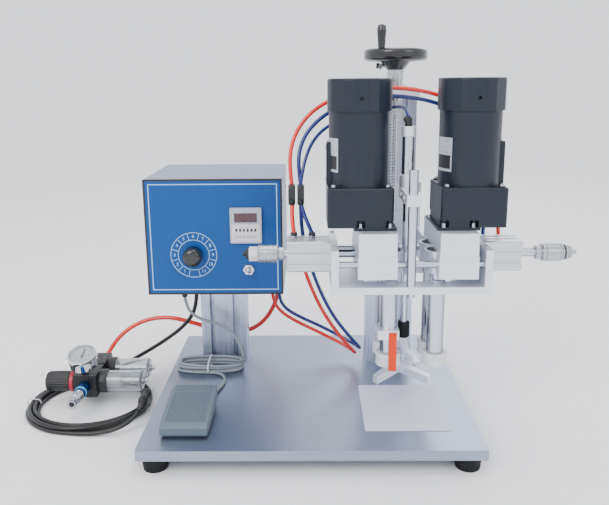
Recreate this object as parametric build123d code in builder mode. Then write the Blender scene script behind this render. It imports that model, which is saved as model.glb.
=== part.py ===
from build123d import *
import math
import os

os.makedirs("parts", exist_ok=True)

# Desk capping machine, in millimetres. A bottle stands at the origin, on the frosted pad;
# +X is to the operator's right, +Y away from the operator, +Z up.

running_gap = 0.05  # radial clearance of a shaft in its bore
seat_gap = 0.3  # clearance of a curved or loose piece beside its neighbour

# base tray, feet and pad
tray_length = 480
tray_depth = 405
tray_centre_x = -137
tray_front_y = -112
tray_sheet = 1.5
tray_lip = 15
foot_radius = 20
foot_height = 22
foot_inset = 23
pad_length = 122
pad_depth = 140
pad_thickness = 1

tray_top = -pad_thickness
floor_z = tray_top - tray_lip - foot_height
tray_centre_y = tray_front_y + tray_depth / 2

# aluminium profile columns
profile_width = 80
profile_depth = 40
slot_mouth = 8.2
slot_lip = 4.5
slot_inner = 16
slot_floor = 7
slot_depth = 11.5
slot_spacing = 40
left_column_x = -289
left_column_y = 195
centre_column_y = 193
centre_column_top = 462

# control box
box_length = 220
box_height = 190
box_depth = 185
box_centre_x = -290.5
box_front_y = 104
box_bottom = 148
box_sheet = 2
panel_thickness = 2
dial_x = -324
dial_z = 214.7
dial_knob_radius = 15.5
dial_knob_height = 21
timer_x = -238.5
timer_z = 263.5
timer_bezel_width = 50
timer_bezel_height = 57
timer_body_size = 45
toggle_x = -236
toggle_z = 190

# head: bracket, guide rods, cylinders
bracket_z = 203
bracket_thickness = 10
bracket_length = 217
bracket_front_y = -64
bracket_depth = 131
bracket_wall_height = 51
guide_rod_radius = 4.5
guide_rod_z = 240
guide_rod_spacing = 94
cylinder_size = 44
left_cylinder_length = 61
right_cylinder_length = 52
left_piston_station = 30.5  # piston's middle, outward from the bracket wall's outer face
right_piston_station = 34.5
cylinder_end_wall = 6
piston_radius = 15.6
piston_thickness = 8
cylinder_y = 3
cylinder_z = 243.5
cylinder_rod_radius = 6
left_travel_room = 4.6
right_travel_room = 24.6

# capping carriages, one each side of the bottle
left_block_x = -46
right_block_x = 63
block_width = 53
block_front_y = -64
block_depth = 130
lower_block_z = 224
lower_block_height = 31.5
upper_block_height = 31.5
spindle_inset = 21
drive_teeth = 38
spindle_teeth = 28
gear_module = 1
gear_thickness = 10
gear_z = 233
gear_backlash = 0.25
shaft_offset = 18
spindle_pitch_y = 43
sleeve_radius = 12
sleeve_bottom = 104.5
spindle_shaft_radius = 5
wheel_radius = 18
wheel_height = 19
wheel_top = 103.5
motor_plate_thickness = 4
gearbox_size = 90
gearbox_height = 54
motor_radius = 42
motor_height = 102
cap_height = 43

# presser in the middle of the head
presser_rod_radius = 5
presser_bottom = 117
plug_radius = 8.5
plug_height = 23
post_y = -57
post_radius = 6.2
post_top = 372
post_bolt_radius = 3
arm_z = 325
arm_height = 15
arm_width = 20
mini_cylinder_top = 425
mini_cylinder_radius = 11

# head lift
screw_y = 153
screw_radius = 7
screw_bottom = 216
bearing_plate_thickness = 12
wheel_rim_radius = 50
wheel_rim_z = 516.5
wheel_rim_height = 19
grip_x = -26
grip_height = 35

bracket_top = bracket_z + bracket_thickness
block_centre_y = block_front_y + block_depth / 2
upper_block_z = lower_block_z + lower_block_height
motor_plate_z = upper_block_z + upper_block_height
gearbox_z = motor_plate_z + motor_plate_thickness
motor_z = gearbox_z + gearbox_height
cap_z = motor_z + motor_height
drive_radius = drive_teeth * gear_module / 2
spindle_radius = spindle_teeth * gear_module / 2
gear_distance = drive_radius + spindle_radius
spindle_y = spindle_pitch_y / 2
drive_offset = math.sqrt(gear_distance**2 - spindle_y**2)


# ---------------------------------------------------------------- base
with BuildPart() as base_tray:
    with BuildSketch(Plane.XY.offset(tray_top)):
        with Locations((tray_centre_x, tray_centre_y)):
            RectangleRounded(tray_length, tray_depth, 3)
    extrude(amount=-tray_lip)
    with BuildSketch(Plane.XY.offset(tray_top - tray_sheet)):
        with Locations((tray_centre_x, tray_centre_y)):
            RectangleRounded(tray_length - 2 * tray_sheet, tray_depth - 2 * tray_sheet, 1.5)
    extrude(amount=-tray_lip, mode=Mode.SUBTRACT)
base_tray.part.label = "base_tray"
export_step(base_tray.part, "parts/base_tray.step")

foot_spread_x = tray_length - 2 * foot_inset
foot_spread_y = tray_depth - 2 * foot_inset
foot_boss_top = tray_top - tray_sheet
with BuildPart() as rubber_feet:
    with Locations((tray_centre_x, tray_centre_y, 0)):
        with GridLocations(foot_spread_x, foot_spread_y, 2, 2):
            with Locations((0, 0, floor_z)):
                Cone(
                    foot_radius - 3, foot_radius, foot_height,
                    align=(Align.CENTER, Align.CENTER, Align.MIN),
                )
            with Locations((0, 0, floor_z + foot_height)):
                Cylinder(
                    foot_radius / 2, foot_boss_top - floor_z - foot_height,
                    align=(Align.CENTER, Align.CENTER, Align.MIN),
                )
rubber_feet.part.label = "rubber_feet"
export_step(rubber_feet.part, "parts/rubber_feet.step")

with BuildPart() as bottle_pad:
    with BuildSketch(Plane.XY.offset(tray_top)):
        with Locations((1, 8)):
            RectangleRounded(pad_length, pad_depth, 2)
    extrude(amount=pad_thickness)
bottle_pad.part.label = "bottle_pad"
export_step(bottle_pad.part, "parts/bottle_pad.step")


# ---------------------------------------------------------------- columns
def profile_column(centre_x, centre_y, top):
    """An 80 by 40 slotted column standing on the tray."""
    half_width = profile_width / 2
    half_depth = profile_depth / 2
    tee = [
        (-slot_mouth / 2, 0.1),
        (slot_mouth / 2, 0.1),
        (slot_mouth / 2, -slot_lip),
        (slot_inner / 2, -slot_lip),
        (slot_inner / 2, -slot_lip - 2),
        (slot_floor / 2, -slot_depth),
        (-slot_floor / 2, -slot_depth),
        (-slot_inner / 2, -slot_lip - 2),
        (-slot_inner / 2, -slot_lip),
        (-slot_mouth / 2, -slot_lip),
    ]
    with BuildPart() as column:
        with BuildSketch(Plane.XY.offset(tray_top)):
            with Locations((centre_x, centre_y)):
                RectangleRounded(profile_width, profile_depth, 1.5)
            slots = [(centre_x + side * slot_spacing / 2, centre_y + half_depth, 0) for side in (-1, 1)]
            slots += [(centre_x + side * slot_spacing / 2, centre_y - half_depth, 180) for side in (-1, 1)]
            slots += [(centre_x - half_width, centre_y, 90), (centre_x + half_width, centre_y, -90)]
            for x, y, turn in slots:
                with Locations(Location((x, y), turn)):
                    Polygon(*tee, align=None, mode=Mode.SUBTRACT)
            with Locations((centre_x, centre_y)):
                RectangleRounded(12, 22, 2, mode=Mode.SUBTRACT)
                with GridLocations(slot_spacing, 0, 2, 1):
                    Circle(3.4, mode=Mode.SUBTRACT)
        extrude(amount=top - tray_top)
    return column


left_column = profile_column(left_column_x, left_column_y, box_bottom)
left_column.part.label = "left_column"
export_step(left_column.part, "parts/left_column.step")

centre_column = profile_column(0, centre_column_y, centre_column_top)
centre_column.part.label = "centre_column"
export_step(centre_column.part, "parts/centre_column.step")


# ---------------------------------------------------------------- control box
box_centre_y = box_front_y + box_depth / 2
box_centre_z = box_bottom + box_height / 2
power_gland = (-333, 165)
pedal_gland = (-347, 130)
air_gland = (-194, 222)
red_gland = (-204, 178)
blue_gland = (-192, 178)
gland_length = 12

with BuildPart() as box_shell:
    with Locations((box_centre_x, box_centre_y, box_centre_z)):
        Box(box_length, box_depth, box_height)
    fillet(box_shell.edges().filter_by(Axis.Y), 3)
    with Locations((box_centre_x, box_centre_y - box_sheet, box_centre_z)):
        Box(
            box_length - 2 * box_sheet, box_depth, box_height - 2 * box_sheet,
            mode=Mode.SUBTRACT,
        )
    # corner tabs that the front panel screws to
    with Locations((box_centre_x, box_front_y + panel_thickness + seat_gap + 4, box_centre_z)):
        for side_x in (-1, 1):
            for side_z in (-1, 1):
                tab_x = side_x * (box_length / 2 - box_sheet - 5)
                tab_z = side_z * (box_height / 2 - box_sheet - 5)
                with Locations((tab_x, 0, tab_z)):
                    Box(10, 8, 10)
    with Locations(
        (power_gland[0], power_gland[1], box_bottom), (pedal_gland[0], pedal_gland[1], box_bottom),
        (air_gland[0], air_gland[1], box_bottom), (red_gland[0], red_gland[1], box_bottom),
        (blue_gland[0], blue_gland[1], box_bottom),
    ):
        Cylinder(4.5, 3 * box_sheet, mode=Mode.SUBTRACT)
box_shell.part.label = "box_shell"
export_step(box_shell.part, "parts/box_shell.step")

pot_bush_radius = 4.5
toggle_bush_radius = 5.8
panel_width = box_length - 2 * box_sheet - 2 * seat_gap
panel_height = box_height - 2 * box_sheet - 2 * seat_gap
panel_back_y = box_front_y + panel_thickness
with BuildPart() as front_panel:
    with Locations((box_centre_x, box_front_y + panel_thickness / 2, box_centre_z)):
        Box(panel_width, panel_thickness, panel_height)
    with Locations((timer_x, box_front_y, timer_z)):
        Box(
            timer_body_size + 2 * seat_gap, 4 * panel_thickness, timer_body_size + 2 * seat_gap,
            mode=Mode.SUBTRACT,
        )
    with Locations((dial_x, box_front_y, dial_z)):
        Cylinder(
            pot_bush_radius + running_gap, 4 * panel_thickness, rotation=(90, 0, 0),
            mode=Mode.SUBTRACT,
        )
    with Locations((toggle_x, box_front_y, toggle_z)):
        Cylinder(
            toggle_bush_radius + running_gap, 4 * panel_thickness, rotation=(90, 0, 0),
            mode=Mode.SUBTRACT,
        )
front_panel.part.label = "front_panel"
export_step(front_panel.part, "parts/front_panel.step")

bezel_depth = 6
with BuildPart() as timer_body:
    with Locations((timer_x, box_front_y - bezel_depth / 2, timer_z)):
        Box(timer_bezel_width, bezel_depth, timer_bezel_height)
    fillet(timer_body.edges().filter_by(Axis.Y), 2)
    with Locations((timer_x, box_front_y, timer_z)):
        Box(
            timer_body_size, 70, timer_body_size, align=(Align.CENTER, Align.MIN, Align.CENTER)
        )
    # display recess above, key field below
    with Locations((timer_x, box_front_y - bezel_depth, timer_z + 13)):
        Box(36, 2, 16, mode=Mode.SUBTRACT)
    with Locations((timer_x, box_front_y - bezel_depth, timer_z - 13)):
        Box(42, 1, 20, mode=Mode.SUBTRACT)
timer_body.part.label = "timer_body"
export_step(timer_body.part, "parts/timer_body.step")

pot_shaft_radius = 3
with BuildPart() as box_electrics:
    # speed potentiometer: can, bush and shaft
    with Locations((dial_x, panel_back_y, dial_z)):
        Cylinder(12, 14, rotation=(-90, 0, 0), align=(Align.CENTER, Align.CENTER, Align.MIN))
    with Locations((dial_x, panel_back_y, dial_z)):
        Cylinder(
            pot_bush_radius, panel_thickness + 3, rotation=(90, 0, 0),
            align=(Align.CENTER, Align.CENTER, Align.MIN),
        )
    with Locations((dial_x, panel_back_y - panel_thickness - 4, dial_z)):
        Cylinder(
            pot_shaft_radius + running_gap, 14, rotation=(-90, 0, 0),
            align=(Align.CENTER, Align.CENTER, Align.MIN), mode=Mode.SUBTRACT,
        )
    # toggle switch: case behind the panel, bush and nut in front
    with Locations((toggle_x, panel_back_y, toggle_z)):
        Box(14, 20, 24, align=(Align.CENTER, Align.MIN, Align.CENTER))
    with Locations((toggle_x, panel_back_y, toggle_z)):
        Cylinder(
            toggle_bush_radius, panel_thickness + 8, rotation=(90, 0, 0),
            align=(Align.CENTER, Align.CENTER, Align.MIN),
        )
    with BuildSketch(Plane((toggle_x, box_front_y, toggle_z), z_dir=(0, -1, 0))):
        RegularPolygon(9, 6)
    extrude(amount=3)
    with Locations((toggle_x, box_front_y - 8, toggle_z)):
        Sphere(4.6, mode=Mode.SUBTRACT)
    # solenoid valves on a manifold, motor speed controller and terminal strip on the floor
    floor_level = box_bottom + box_sheet
    with Locations((-218, 245, floor_level)):
        Box(50, 30, 12, align=(Align.CENTER, Align.CENTER, Align.MIN))
    with Locations((-231, 245, floor_level + 12), (-205, 245, floor_level + 12)):
        Box(22, 26, 40, align=(Align.CENTER, Align.CENTER, Align.MIN))
    with Locations((-290, 235, floor_level)):
        Box(70, 80, 45, align=(Align.CENTER, Align.CENTER, Align.MIN))
    with Locations((-365, 240, floor_level)):
        Box(40, 70, 18, align=(Align.CENTER, Align.CENTER, Align.MIN))
    # cable glands and hose bulkheads through the floor
    for x, y in (power_gland, pedal_gland, air_gland, red_gland, blue_gland):
        with BuildSketch(Plane((x, y, box_bottom), z_dir=(0, 0, -1))):
            RegularPolygon(5.9, 6)
        extrude(amount=5)
        with Locations((x, y, box_bottom - 5)):
            Cone(
                5.5, 4.4, gland_length - 5, rotation=(180, 0, 0),
                align=(Align.CENTER, Align.CENTER, Align.MIN),
            )
        with Locations((x, y, box_bottom)):
            Cylinder(4.4, box_sheet + 2, align=(Align.CENTER, Align.CENTER, Align.MIN))
box_electrics.part.label = "box_electrics"
export_step(box_electrics.part, "parts/box_electrics.step")

knob_back_y = box_front_y - 3 - seat_gap
with BuildPart() as dial_knob:
    with BuildSketch(Plane((dial_x, knob_back_y, dial_z), z_dir=(0, -1, 0))):
        Circle(dial_knob_radius)
    extrude(amount=dial_knob_height)
    fillet(dial_knob.faces().sort_by(Axis.Y)[0].edges(), 9)
    with BuildSketch(Plane((dial_x, knob_back_y, dial_z), z_dir=(0, -1, 0))):
        with PolarLocations(dial_knob_radius + 0.4, 18):
            Circle(1.1)
    extrude(amount=11, mode=Mode.SUBTRACT)
    with Locations((dial_x, knob_back_y - 1, dial_z)):
        Cylinder(
            pot_shaft_radius, 8, rotation=(-90, 0, 0),
            align=(Align.CENTER, Align.CENTER, Align.MIN),
        )
dial_knob.part.label = "dial_knob"
export_step(dial_knob.part, "parts/dial_knob.step")

lever_ball_y = box_front_y - 8
with BuildPart() as toggle_lever:
    with BuildSketch(Plane.XZ.offset(-lever_ball_y)):
        with Locations((toggle_x, toggle_z)):
            Circle(1.6)
    extrude(amount=13, taper=-4)
    with Locations((toggle_x, lever_ball_y - 14, toggle_z)):
        Sphere(2.9)
    with Locations((toggle_x, lever_ball_y, toggle_z)):
        Sphere(4.3)
toggle_lever.part.label = "toggle_lever"
export_step(toggle_lever.part, "parts/toggle_lever.step")


# ---------------------------------------------------------------- head lift
bearing_plate_z = centre_column_top
column_front_y = centre_column_y - profile_depth / 2
with BuildPart() as top_bearing_plate:
    plate_front = screw_y - 18
    plate_back = centre_column_y + profile_depth / 2
    with BuildSketch(Plane.XY.offset(bearing_plate_z)):
        with Locations((0, (plate_front + plate_back) / 2)):
            RectangleRounded(profile_width, plate_back - plate_front, 4)
        with Locations((0, screw_y)):
            Circle(screw_radius + running_gap, mode=Mode.SUBTRACT)
        with Locations((0, centre_column_y)):
            with GridLocations(slot_spacing, 0, 2, 1):
                Circle(4.5, mode=Mode.SUBTRACT)
    extrude(amount=bearing_plate_thickness)
top_bearing_plate.part.label = "top_bearing_plate"
export_step(top_bearing_plate.part, "parts/top_bearing_plate.step")

collar_z = bearing_plate_z + bearing_plate_thickness + seat_gap
collar_top = wheel_rim_z - 12.5
with BuildPart() as lead_screw:
    with Locations((0, screw_y, screw_bottom)):
        Cylinder(
            screw_radius, collar_z - screw_bottom, align=(Align.CENTER, Align.CENTER, Align.MIN)
        )
    # collars either side of the bearing plate carry the head's weight
    with Locations((0, screw_y, collar_z)):
        Cylinder(13, collar_top - collar_z, align=(Align.CENTER, Align.CENTER, Align.MIN))
    with Locations((0, screw_y, bearing_plate_z - seat_gap)):
        Cylinder(12, 8, align=(Align.CENTER, Align.CENTER, Align.MAX))
    with Locations((0, screw_y, collar_top)):
        Cylinder(screw_radius, 25, align=(Align.CENTER, Align.CENTER, Align.MIN))
lead_screw.part.label = "lead_screw"
export_step(lead_screw.part, "parts/lead_screw.step")

rim_top = wheel_rim_z + wheel_rim_height
spoke_z = wheel_rim_z + 6
with BuildPart() as handwheel:
    with BuildSketch(Plane.XZ.offset(-screw_y)):
        with Locations((wheel_rim_radius - 7, wheel_rim_z + wheel_rim_height / 2)):
            RectangleRounded(14, wheel_rim_height, 6.5)
    revolve(axis=Axis((0, screw_y, 0), (0, 0, 1)))
    # hub cone with its set-screw boss, and three dished spokes
    with Locations((0, screw_y, collar_top)):
        Cone(14, 24, 12.5, align=(Align.CENTER, Align.CENTER, Align.MIN))
    with Locations((0, screw_y, wheel_rim_z)):
        Cylinder(24, 9, align=(Align.CENTER, Align.CENTER, Align.MIN))
    with BuildSketch(Plane.XY.offset(spoke_z - 4)):
        with Locations((0, screw_y)):
            with PolarLocations(28, 3, start_angle=90):
                Rectangle(36, 13)
    extrude(amount=8)
    with Locations((0, screw_y, collar_top)):
        Cylinder(
            screw_radius + running_gap, 25 + seat_gap,
            align=(Align.CENTER, Align.CENTER, Align.MIN), mode=Mode.SUBTRACT,
        )
    grip_y = screw_y - math.sqrt((wheel_rim_radius - 8) ** 2 - grip_x**2)
    with Locations((grip_x, grip_y, rim_top - 8)):
        Cylinder(3, grip_height + 5, align=(Align.CENTER, Align.CENTER, Align.MIN))
    with Locations((-20, screw_y, collar_top + 6)):
        Cylinder(2, 14, rotation=(0, 90, 0))
    with Locations((-28, screw_y, collar_top + 6)):
        Cylinder(4.5, 5, rotation=(0, 90, 0))
handwheel.part.label = "handwheel"
export_step(handwheel.part, "parts/handwheel.step")

grip_bottom = rim_top + seat_gap
with BuildPart() as handwheel_grip:
    with BuildSketch(Plane.XZ.offset(-grip_y)):
        with BuildLine():
            Polyline(
                (grip_x + 3 + running_gap, grip_bottom), (grip_x + 5.5, grip_bottom),
                (grip_x + 6.3, grip_bottom + 12), (grip_x + 7.3, grip_bottom + 26),
                (grip_x + 6, grip_bottom + 33), (grip_x + 3 + running_gap, grip_bottom + 34.5),
                close=True,
            )
        make_face()
    revolve(axis=Axis((grip_x, grip_y, 0), (0, 0, 1)))
handwheel_grip.part.label = "handwheel_grip"
export_step(handwheel_grip.part, "parts/handwheel_grip.step")

# the slide plate runs on the column's front and carries the nut and the bracket's arms
slide_gap = 0.4
slide_plate_back = column_front_y - slide_gap
slide_plate_thickness = 8
slide_plate_height = 118
slide_top = bracket_z + slide_plate_height
arm_span_x = 44
nut_z = 262
bracket_back_y = bracket_front_y + bracket_depth
with BuildPart() as head_slide:
    with Locations((0, slide_plate_back - slide_plate_thickness / 2, bracket_z + slide_plate_height / 2)):
        Box(profile_width, slide_plate_thickness, slide_plate_height)
    # cheeks that clasp the column's sides
    cheek_x = profile_width / 2 + slide_gap + 4
    with Locations((-cheek_x, 0, 0), (cheek_x, 0, 0)):
        with Locations((0, slide_plate_back - slide_plate_thickness, bracket_z)):
            Box(
                8, slide_plate_thickness + 26, slide_plate_height,
                align=(Align.CENTER, Align.MIN, Align.MIN),
            )
    # two arms from the bracket to the slide plate
    plate_front_y = slide_plate_back - slide_plate_thickness
    with Locations((-arm_span_x, 0, 0), (arm_span_x, 0, 0)):
        with Locations((0, bracket_back_y, bracket_z)):
            Box(
                10, plate_front_y - bracket_back_y + 1, 46,
                align=(Align.CENTER, Align.MIN, Align.MIN),
            )
    # nut housing round the screw
    with Locations((0, screw_y, nut_z)):
        Box(34, 24, 26)
        Cylinder(screw_radius + running_gap, 40, mode=Mode.SUBTRACT)
head_slide.part.label = "head_slide"
export_step(head_slide.part, "parts/head_slide.step")


# ---------------------------------------------------------------- head bracket
window_left = -62
window_right = 66
window_half_y = 36
bracket_centre_y = bracket_front_y + bracket_depth / 2
wall_centre_x = bracket_length / 2 - bracket_thickness / 2
with BuildPart() as head_bracket:
    with Locations((0, bracket_centre_y, bracket_z)):
        Box(
            bracket_length, bracket_depth, bracket_thickness,
            align=(Align.CENTER, Align.CENTER, Align.MIN),
        )
    with Locations((-wall_centre_x, bracket_centre_y, bracket_top), (wall_centre_x, bracket_centre_y, bracket_top)):
        Box(
            bracket_thickness, bracket_depth, bracket_wall_height,
            align=(Align.CENTER, Align.CENTER, Align.MIN),
        )
    with Locations(((window_left + window_right) / 2, 0, bracket_z)):
        Box(
            window_right - window_left, 2 * window_half_y, 3 * bracket_thickness,
            mode=Mode.SUBTRACT,
        )
    with Locations((0, block_centre_y - guide_rod_spacing / 2, guide_rod_z),
                   (0, block_centre_y + guide_rod_spacing / 2, guide_rod_z)):
        Cylinder(
            guide_rod_radius + running_gap, 2 * bracket_length, rotation=(0, 90, 0),
            mode=Mode.SUBTRACT,
        )
    with Locations((0, cylinder_y, cylinder_z)):
        Cylinder(
            cylinder_rod_radius + running_gap, 2 * bracket_length, rotation=(0, 90, 0),
            mode=Mode.SUBTRACT,
        )
    with Locations((0, post_y, bracket_z)):
        Cylinder(post_bolt_radius + running_gap, 4 * bracket_thickness, mode=Mode.SUBTRACT)
head_bracket.part.label = "head_bracket"
export_step(head_bracket.part, "parts/head_bracket.step")

with BuildPart() as guide_rods:
    with Locations((0, block_centre_y - guide_rod_spacing / 2, guide_rod_z),
                   (0, block_centre_y + guide_rod_spacing / 2, guide_rod_z)):
        Cylinder(guide_rod_radius, bracket_length, rotation=(0, 90, 0))
guide_rods.part.label = "guide_rods"
export_step(guide_rods.part, "parts/guide_rods.step")


def air_cylinder(side, length):
    """A compact square air cylinder on the bracket's wall, with grooved sides."""
    inner_x = side * bracket_length / 2
    centre_x = inner_x + side * length / 2
    half = cylinder_size / 2
    with BuildPart() as cylinder:
        with Locations((centre_x, cylinder_y, cylinder_z)):
            Box(length, cylinder_size, cylinder_size)
        fillet(cylinder.edges().filter_by(Axis.X), 3)
        # sensor grooves along the top, front and back
        for groove_y, groove_z, wide, high in (
            (-half, -8, 4, 5), (-half, 8, 4, 5), (half, 0, 4, 5), (-8, half, 5, 4), (8, half, 5, 4),
        ):
            with Locations((centre_x, cylinder_y + groove_y, cylinder_z + groove_z)):
                Box(2 * length, wide, high, mode=Mode.SUBTRACT)
        with Locations((centre_x, cylinder_y, cylinder_z)):
            Cylinder(
                piston_radius + 0.4, length - 2 * cylinder_end_wall, rotation=(0, 90, 0),
                mode=Mode.SUBTRACT,
            )
            Cylinder(
                cylinder_rod_radius + running_gap, 2 * length, rotation=(0, 90, 0),
                mode=Mode.SUBTRACT,
            )
    return cylinder.part


with BuildPart() as air_cylinders:
    add(air_cylinder(-1, left_cylinder_length))
    add(air_cylinder(1, right_cylinder_length))
air_cylinders.part.label = "air_cylinders"
export_step(air_cylinders.part, "parts/air_cylinders.step")


# ---------------------------------------------------------------- carriages
def gear_teeth(teeth, phase):
    """Outline points of a spur gear with straight-sided teeth, the first tooth at phase degrees."""
    pitch = teeth * gear_module / 2
    tip = pitch + 0.9 * gear_module
    root = pitch - 1.15 * gear_module
    half_tooth = math.pi * gear_module / 4 - gear_backlash / 2
    points = []
    for tooth in range(teeth):
        middle = math.radians(phase) + 2 * math.pi * tooth / teeth
        for radius, half in (
            (root, half_tooth * 1.45), (tip, half_tooth * 0.5), (tip, -half_tooth * 0.5),
            (root, -half_tooth * 1.45),
        ):
            angle = middle - half / radius
            points.append((radius * math.cos(angle), radius * math.sin(angle)))
    return points


def mesh_phase(direction, drive_phase):
    """Phase of a spindle gear that lies at direction degrees from the drive gear, in mesh."""
    drive_pitch = 360 / drive_teeth
    spindle_pitch = 360 / spindle_teeth
    along = ((direction - drive_phase) % drive_pitch) / drive_pitch
    return direction + 180 + spindle_pitch / 2 + along * spindle_pitch


def carriage(side, name, block_x):
    """One capping carriage. side is -1 on the left and 1 on the right of the bottle."""
    spindle_x = block_x - side * spindle_inset
    drive_x = spindle_x + side * drive_offset
    motor_x = drive_x + side * shaft_offset
    outer_x = block_x + side * block_width / 2

    with BuildPart() as lower_block:
        with BuildSketch(Plane.XY.offset(lower_block_z)):
            with Locations((block_x, block_centre_y)):
                Rectangle(block_width, block_depth)
            with Locations((spindle_x, spindle_y), (spindle_x, -spindle_y)):
                Circle(spindle_radius + 4.5)
        extrude(amount=lower_block_height)
        # gear pockets, open at the top under the upper block
        with BuildSketch(Plane.XY.offset(gear_z - 2)):
            with Locations((spindle_x, spindle_y), (spindle_x, -spindle_y)):
                Circle(spindle_radius + 2)
            with Locations((drive_x, 0)):
                Circle(drive_radius + 2)
        extrude(amount=lower_block_height, mode=Mode.SUBTRACT)
        with Locations((spindle_x, spindle_y, lower_block_z), (spindle_x, -spindle_y, lower_block_z)):
            Cylinder(spindle_shaft_radius + running_gap, 40, mode=Mode.SUBTRACT)
        with Locations((block_x, block_centre_y - guide_rod_spacing / 2, guide_rod_z),
                       (block_x, block_centre_y + guide_rod_spacing / 2, guide_rod_z)):
            Cylinder(
                guide_rod_radius + running_gap, 4 * block_width, rotation=(0, 90, 0),
                mode=Mode.SUBTRACT,
            )
    lower_block.part.label = f"{name}_lower_block"
    export_step(lower_block.part, f"parts/{name}_lower_block.step")

    with BuildPart() as upper_block:
        with Locations((block_x, block_centre_y, upper_block_z)):
            Box(
                block_width - 1.5, block_depth - 2, upper_block_height,
                align=(Align.CENTER, Align.CENTER, Align.MIN),
            )
        with Locations((drive_x, 0, upper_block_z)):
            Cylinder(14, 3 * upper_block_height, mode=Mode.SUBTRACT)
    upper_block.part.label = f"{name}_upper_block"
    export_step(upper_block.part, f"parts/{name}_upper_block.step")

    half_box = gearbox_size / 2
    with BuildPart() as gearbox:
        with BuildSketch(Plane.XY.offset(motor_plate_z)):
            with Locations((drive_x - side * 2, 0)):
                Rectangle(58, gearbox_size)
        extrude(amount=motor_plate_thickness)
        with BuildSketch(Plane.XY.offset(gearbox_z)):
            with Locations((motor_x, 0)):
                RectangleRounded(gearbox_size, gearbox_size, 5)
        extrude(amount=gearbox_height)
        chamfer(gearbox.faces().sort_by(Axis.Z)[-1].edges(), 1.5)
        with Locations((drive_x, 0, motor_plate_z)):
            Cylinder(
                6 + running_gap, motor_plate_thickness + 16,
                align=(Align.CENTER, Align.CENTER, Align.MIN), mode=Mode.SUBTRACT,
            )
        # four bolts in corner notches, clamping the gearbox to its plate
        for corner_x in (-1, 1):
            for corner_y in (-1, 1):
                bolt_x = drive_x - side * 2 + corner_x * 20
                with Locations((bolt_x, corner_y * (half_box - 4), gearbox_z)):
                    Box(12, 12, 10, align=(Align.CENTER, Align.CENTER, Align.MIN), mode=Mode.SUBTRACT)
                with Locations((bolt_x, corner_y * (half_box - 5), gearbox_z)):
                    Cylinder(2.5, 10, align=(Align.CENTER, Align.CENTER, Align.MIN))
    gearbox.part.label = f"{name}_gearbox"
    export_step(gearbox.part, f"parts/{name}_gearbox.step")

    with BuildPart() as motor:
        with BuildSketch(Plane.XY.offset(motor_z)):
            with Locations((motor_x, 0)):
                Circle(motor_radius)
        extrude(amount=motor_height)
        # wiring channel down the outer side
        with Locations((motor_x + side * (motor_radius - 4), 0, motor_z)):
            Box(13, 30, 60, align=(Align.CENTER, Align.CENTER, Align.MIN))
        with BuildSketch(Plane.XY.offset(cap_z)):
            with Locations((motor_x, 0)):
                RegularPolygon(47.5, 8, rotation=22.5)
                Circle(45.3, mode=Mode.INTERSECT)
        extrude(amount=cap_height)
        fillet(motor.faces().sort_by(Axis.Z)[-1].edges(), 3)
        with Locations((motor_x, -44, cap_z + 17)):
            Cylinder(2.6, 10, rotation=(90, 0, 0), mode=Mode.SUBTRACT)
    motor.part.label = f"{name}_motor"
    export_step(motor.part, f"parts/{name}_motor.step")

    with BuildPart() as drive_gear:
        with BuildSketch(Plane((drive_x, 0, gear_z))):
            Polygon(*gear_teeth(drive_teeth, 0), align=None)
        extrude(amount=gear_thickness)
        with Locations((drive_x, 0, gear_z)):
            Cylinder(6, gearbox_z + 14 - gear_z, align=(Align.CENTER, Align.CENTER, Align.MIN))
    drive_gear.part.label = f"{name}_drive_gear"
    export_step(drive_gear.part, f"parts/{name}_drive_gear.step")

    # piston rod through the wall and the cylinder, with the stroke adjuster on its outer end
    length = left_cylinder_length if side < 0 else right_cylinder_length
    piston_station = left_piston_station if side < 0 else right_piston_station
    cylinder_end = side * (bracket_length / 2 + length)
    travel_room = left_travel_room if side < 0 else right_travel_room
    knob_start = cylinder_end + side * travel_room
    with BuildPart() as cylinder_rod:
        rod_length = abs(knob_start - outer_x)
        with Locations(((knob_start + outer_x) / 2, cylinder_y, cylinder_z)):
            Cylinder(cylinder_rod_radius, rod_length, rotation=(0, 90, 0))
        # lock ring, barrel, hexagon, shoulder and tip
        station = knob_start
        for run, radius in ((9, 10), (29, 13), (13, 11), (4, 8), (5, 3.5)):
            with Locations((station + side * run / 2, cylinder_y, cylinder_z)):
                Cylinder(radius, run, rotation=(0, 90, 0))
            station += side * run
        # piston inside the cylinder
        piston_x = side * (bracket_length / 2 + piston_station)
        with Locations((piston_x, cylinder_y, cylinder_z)):
            Cylinder(piston_radius, piston_thickness, rotation=(0, 90, 0))
    cylinder_rod.part.label = f"{name}_cylinder_rod"
    export_step(cylinder_rod.part, f"parts/{name}_cylinder_rod.step")

    with BuildPart() as sleeves:
        with Locations((spindle_x, spindle_y, sleeve_bottom), (spindle_x, -spindle_y, sleeve_bottom)):
            Cylinder(
                sleeve_radius, lower_block_z - sleeve_bottom,
                align=(Align.CENTER, Align.CENTER, Align.MIN),
            )
            Cylinder(spindle_shaft_radius + running_gap, 400, mode=Mode.SUBTRACT)
    sleeves.part.label = f"{name}_spindle_sleeves"
    export_step(sleeves.part, f"parts/{name}_spindle_sleeves.step")

    for place, along in (("front", -1), ("rear", 1)):
        y = along * spindle_y
        direction = math.degrees(math.atan2(y, spindle_x - drive_x))
        phase = mesh_phase(direction, 0)
        with BuildPart() as spindle:
            with Locations((spindle_x, y, wheel_top - wheel_height - 2)):
                Cylinder(
                    spindle_shaft_radius, gear_z + gear_thickness - wheel_top + wheel_height + 2,
                    align=(Align.CENTER, Align.CENTER, Align.MIN),
                )
            with BuildSketch(Plane((spindle_x, y, gear_z))):
                Polygon(*gear_teeth(spindle_teeth, phase), align=None)
            extrude(amount=gear_thickness)
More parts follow.
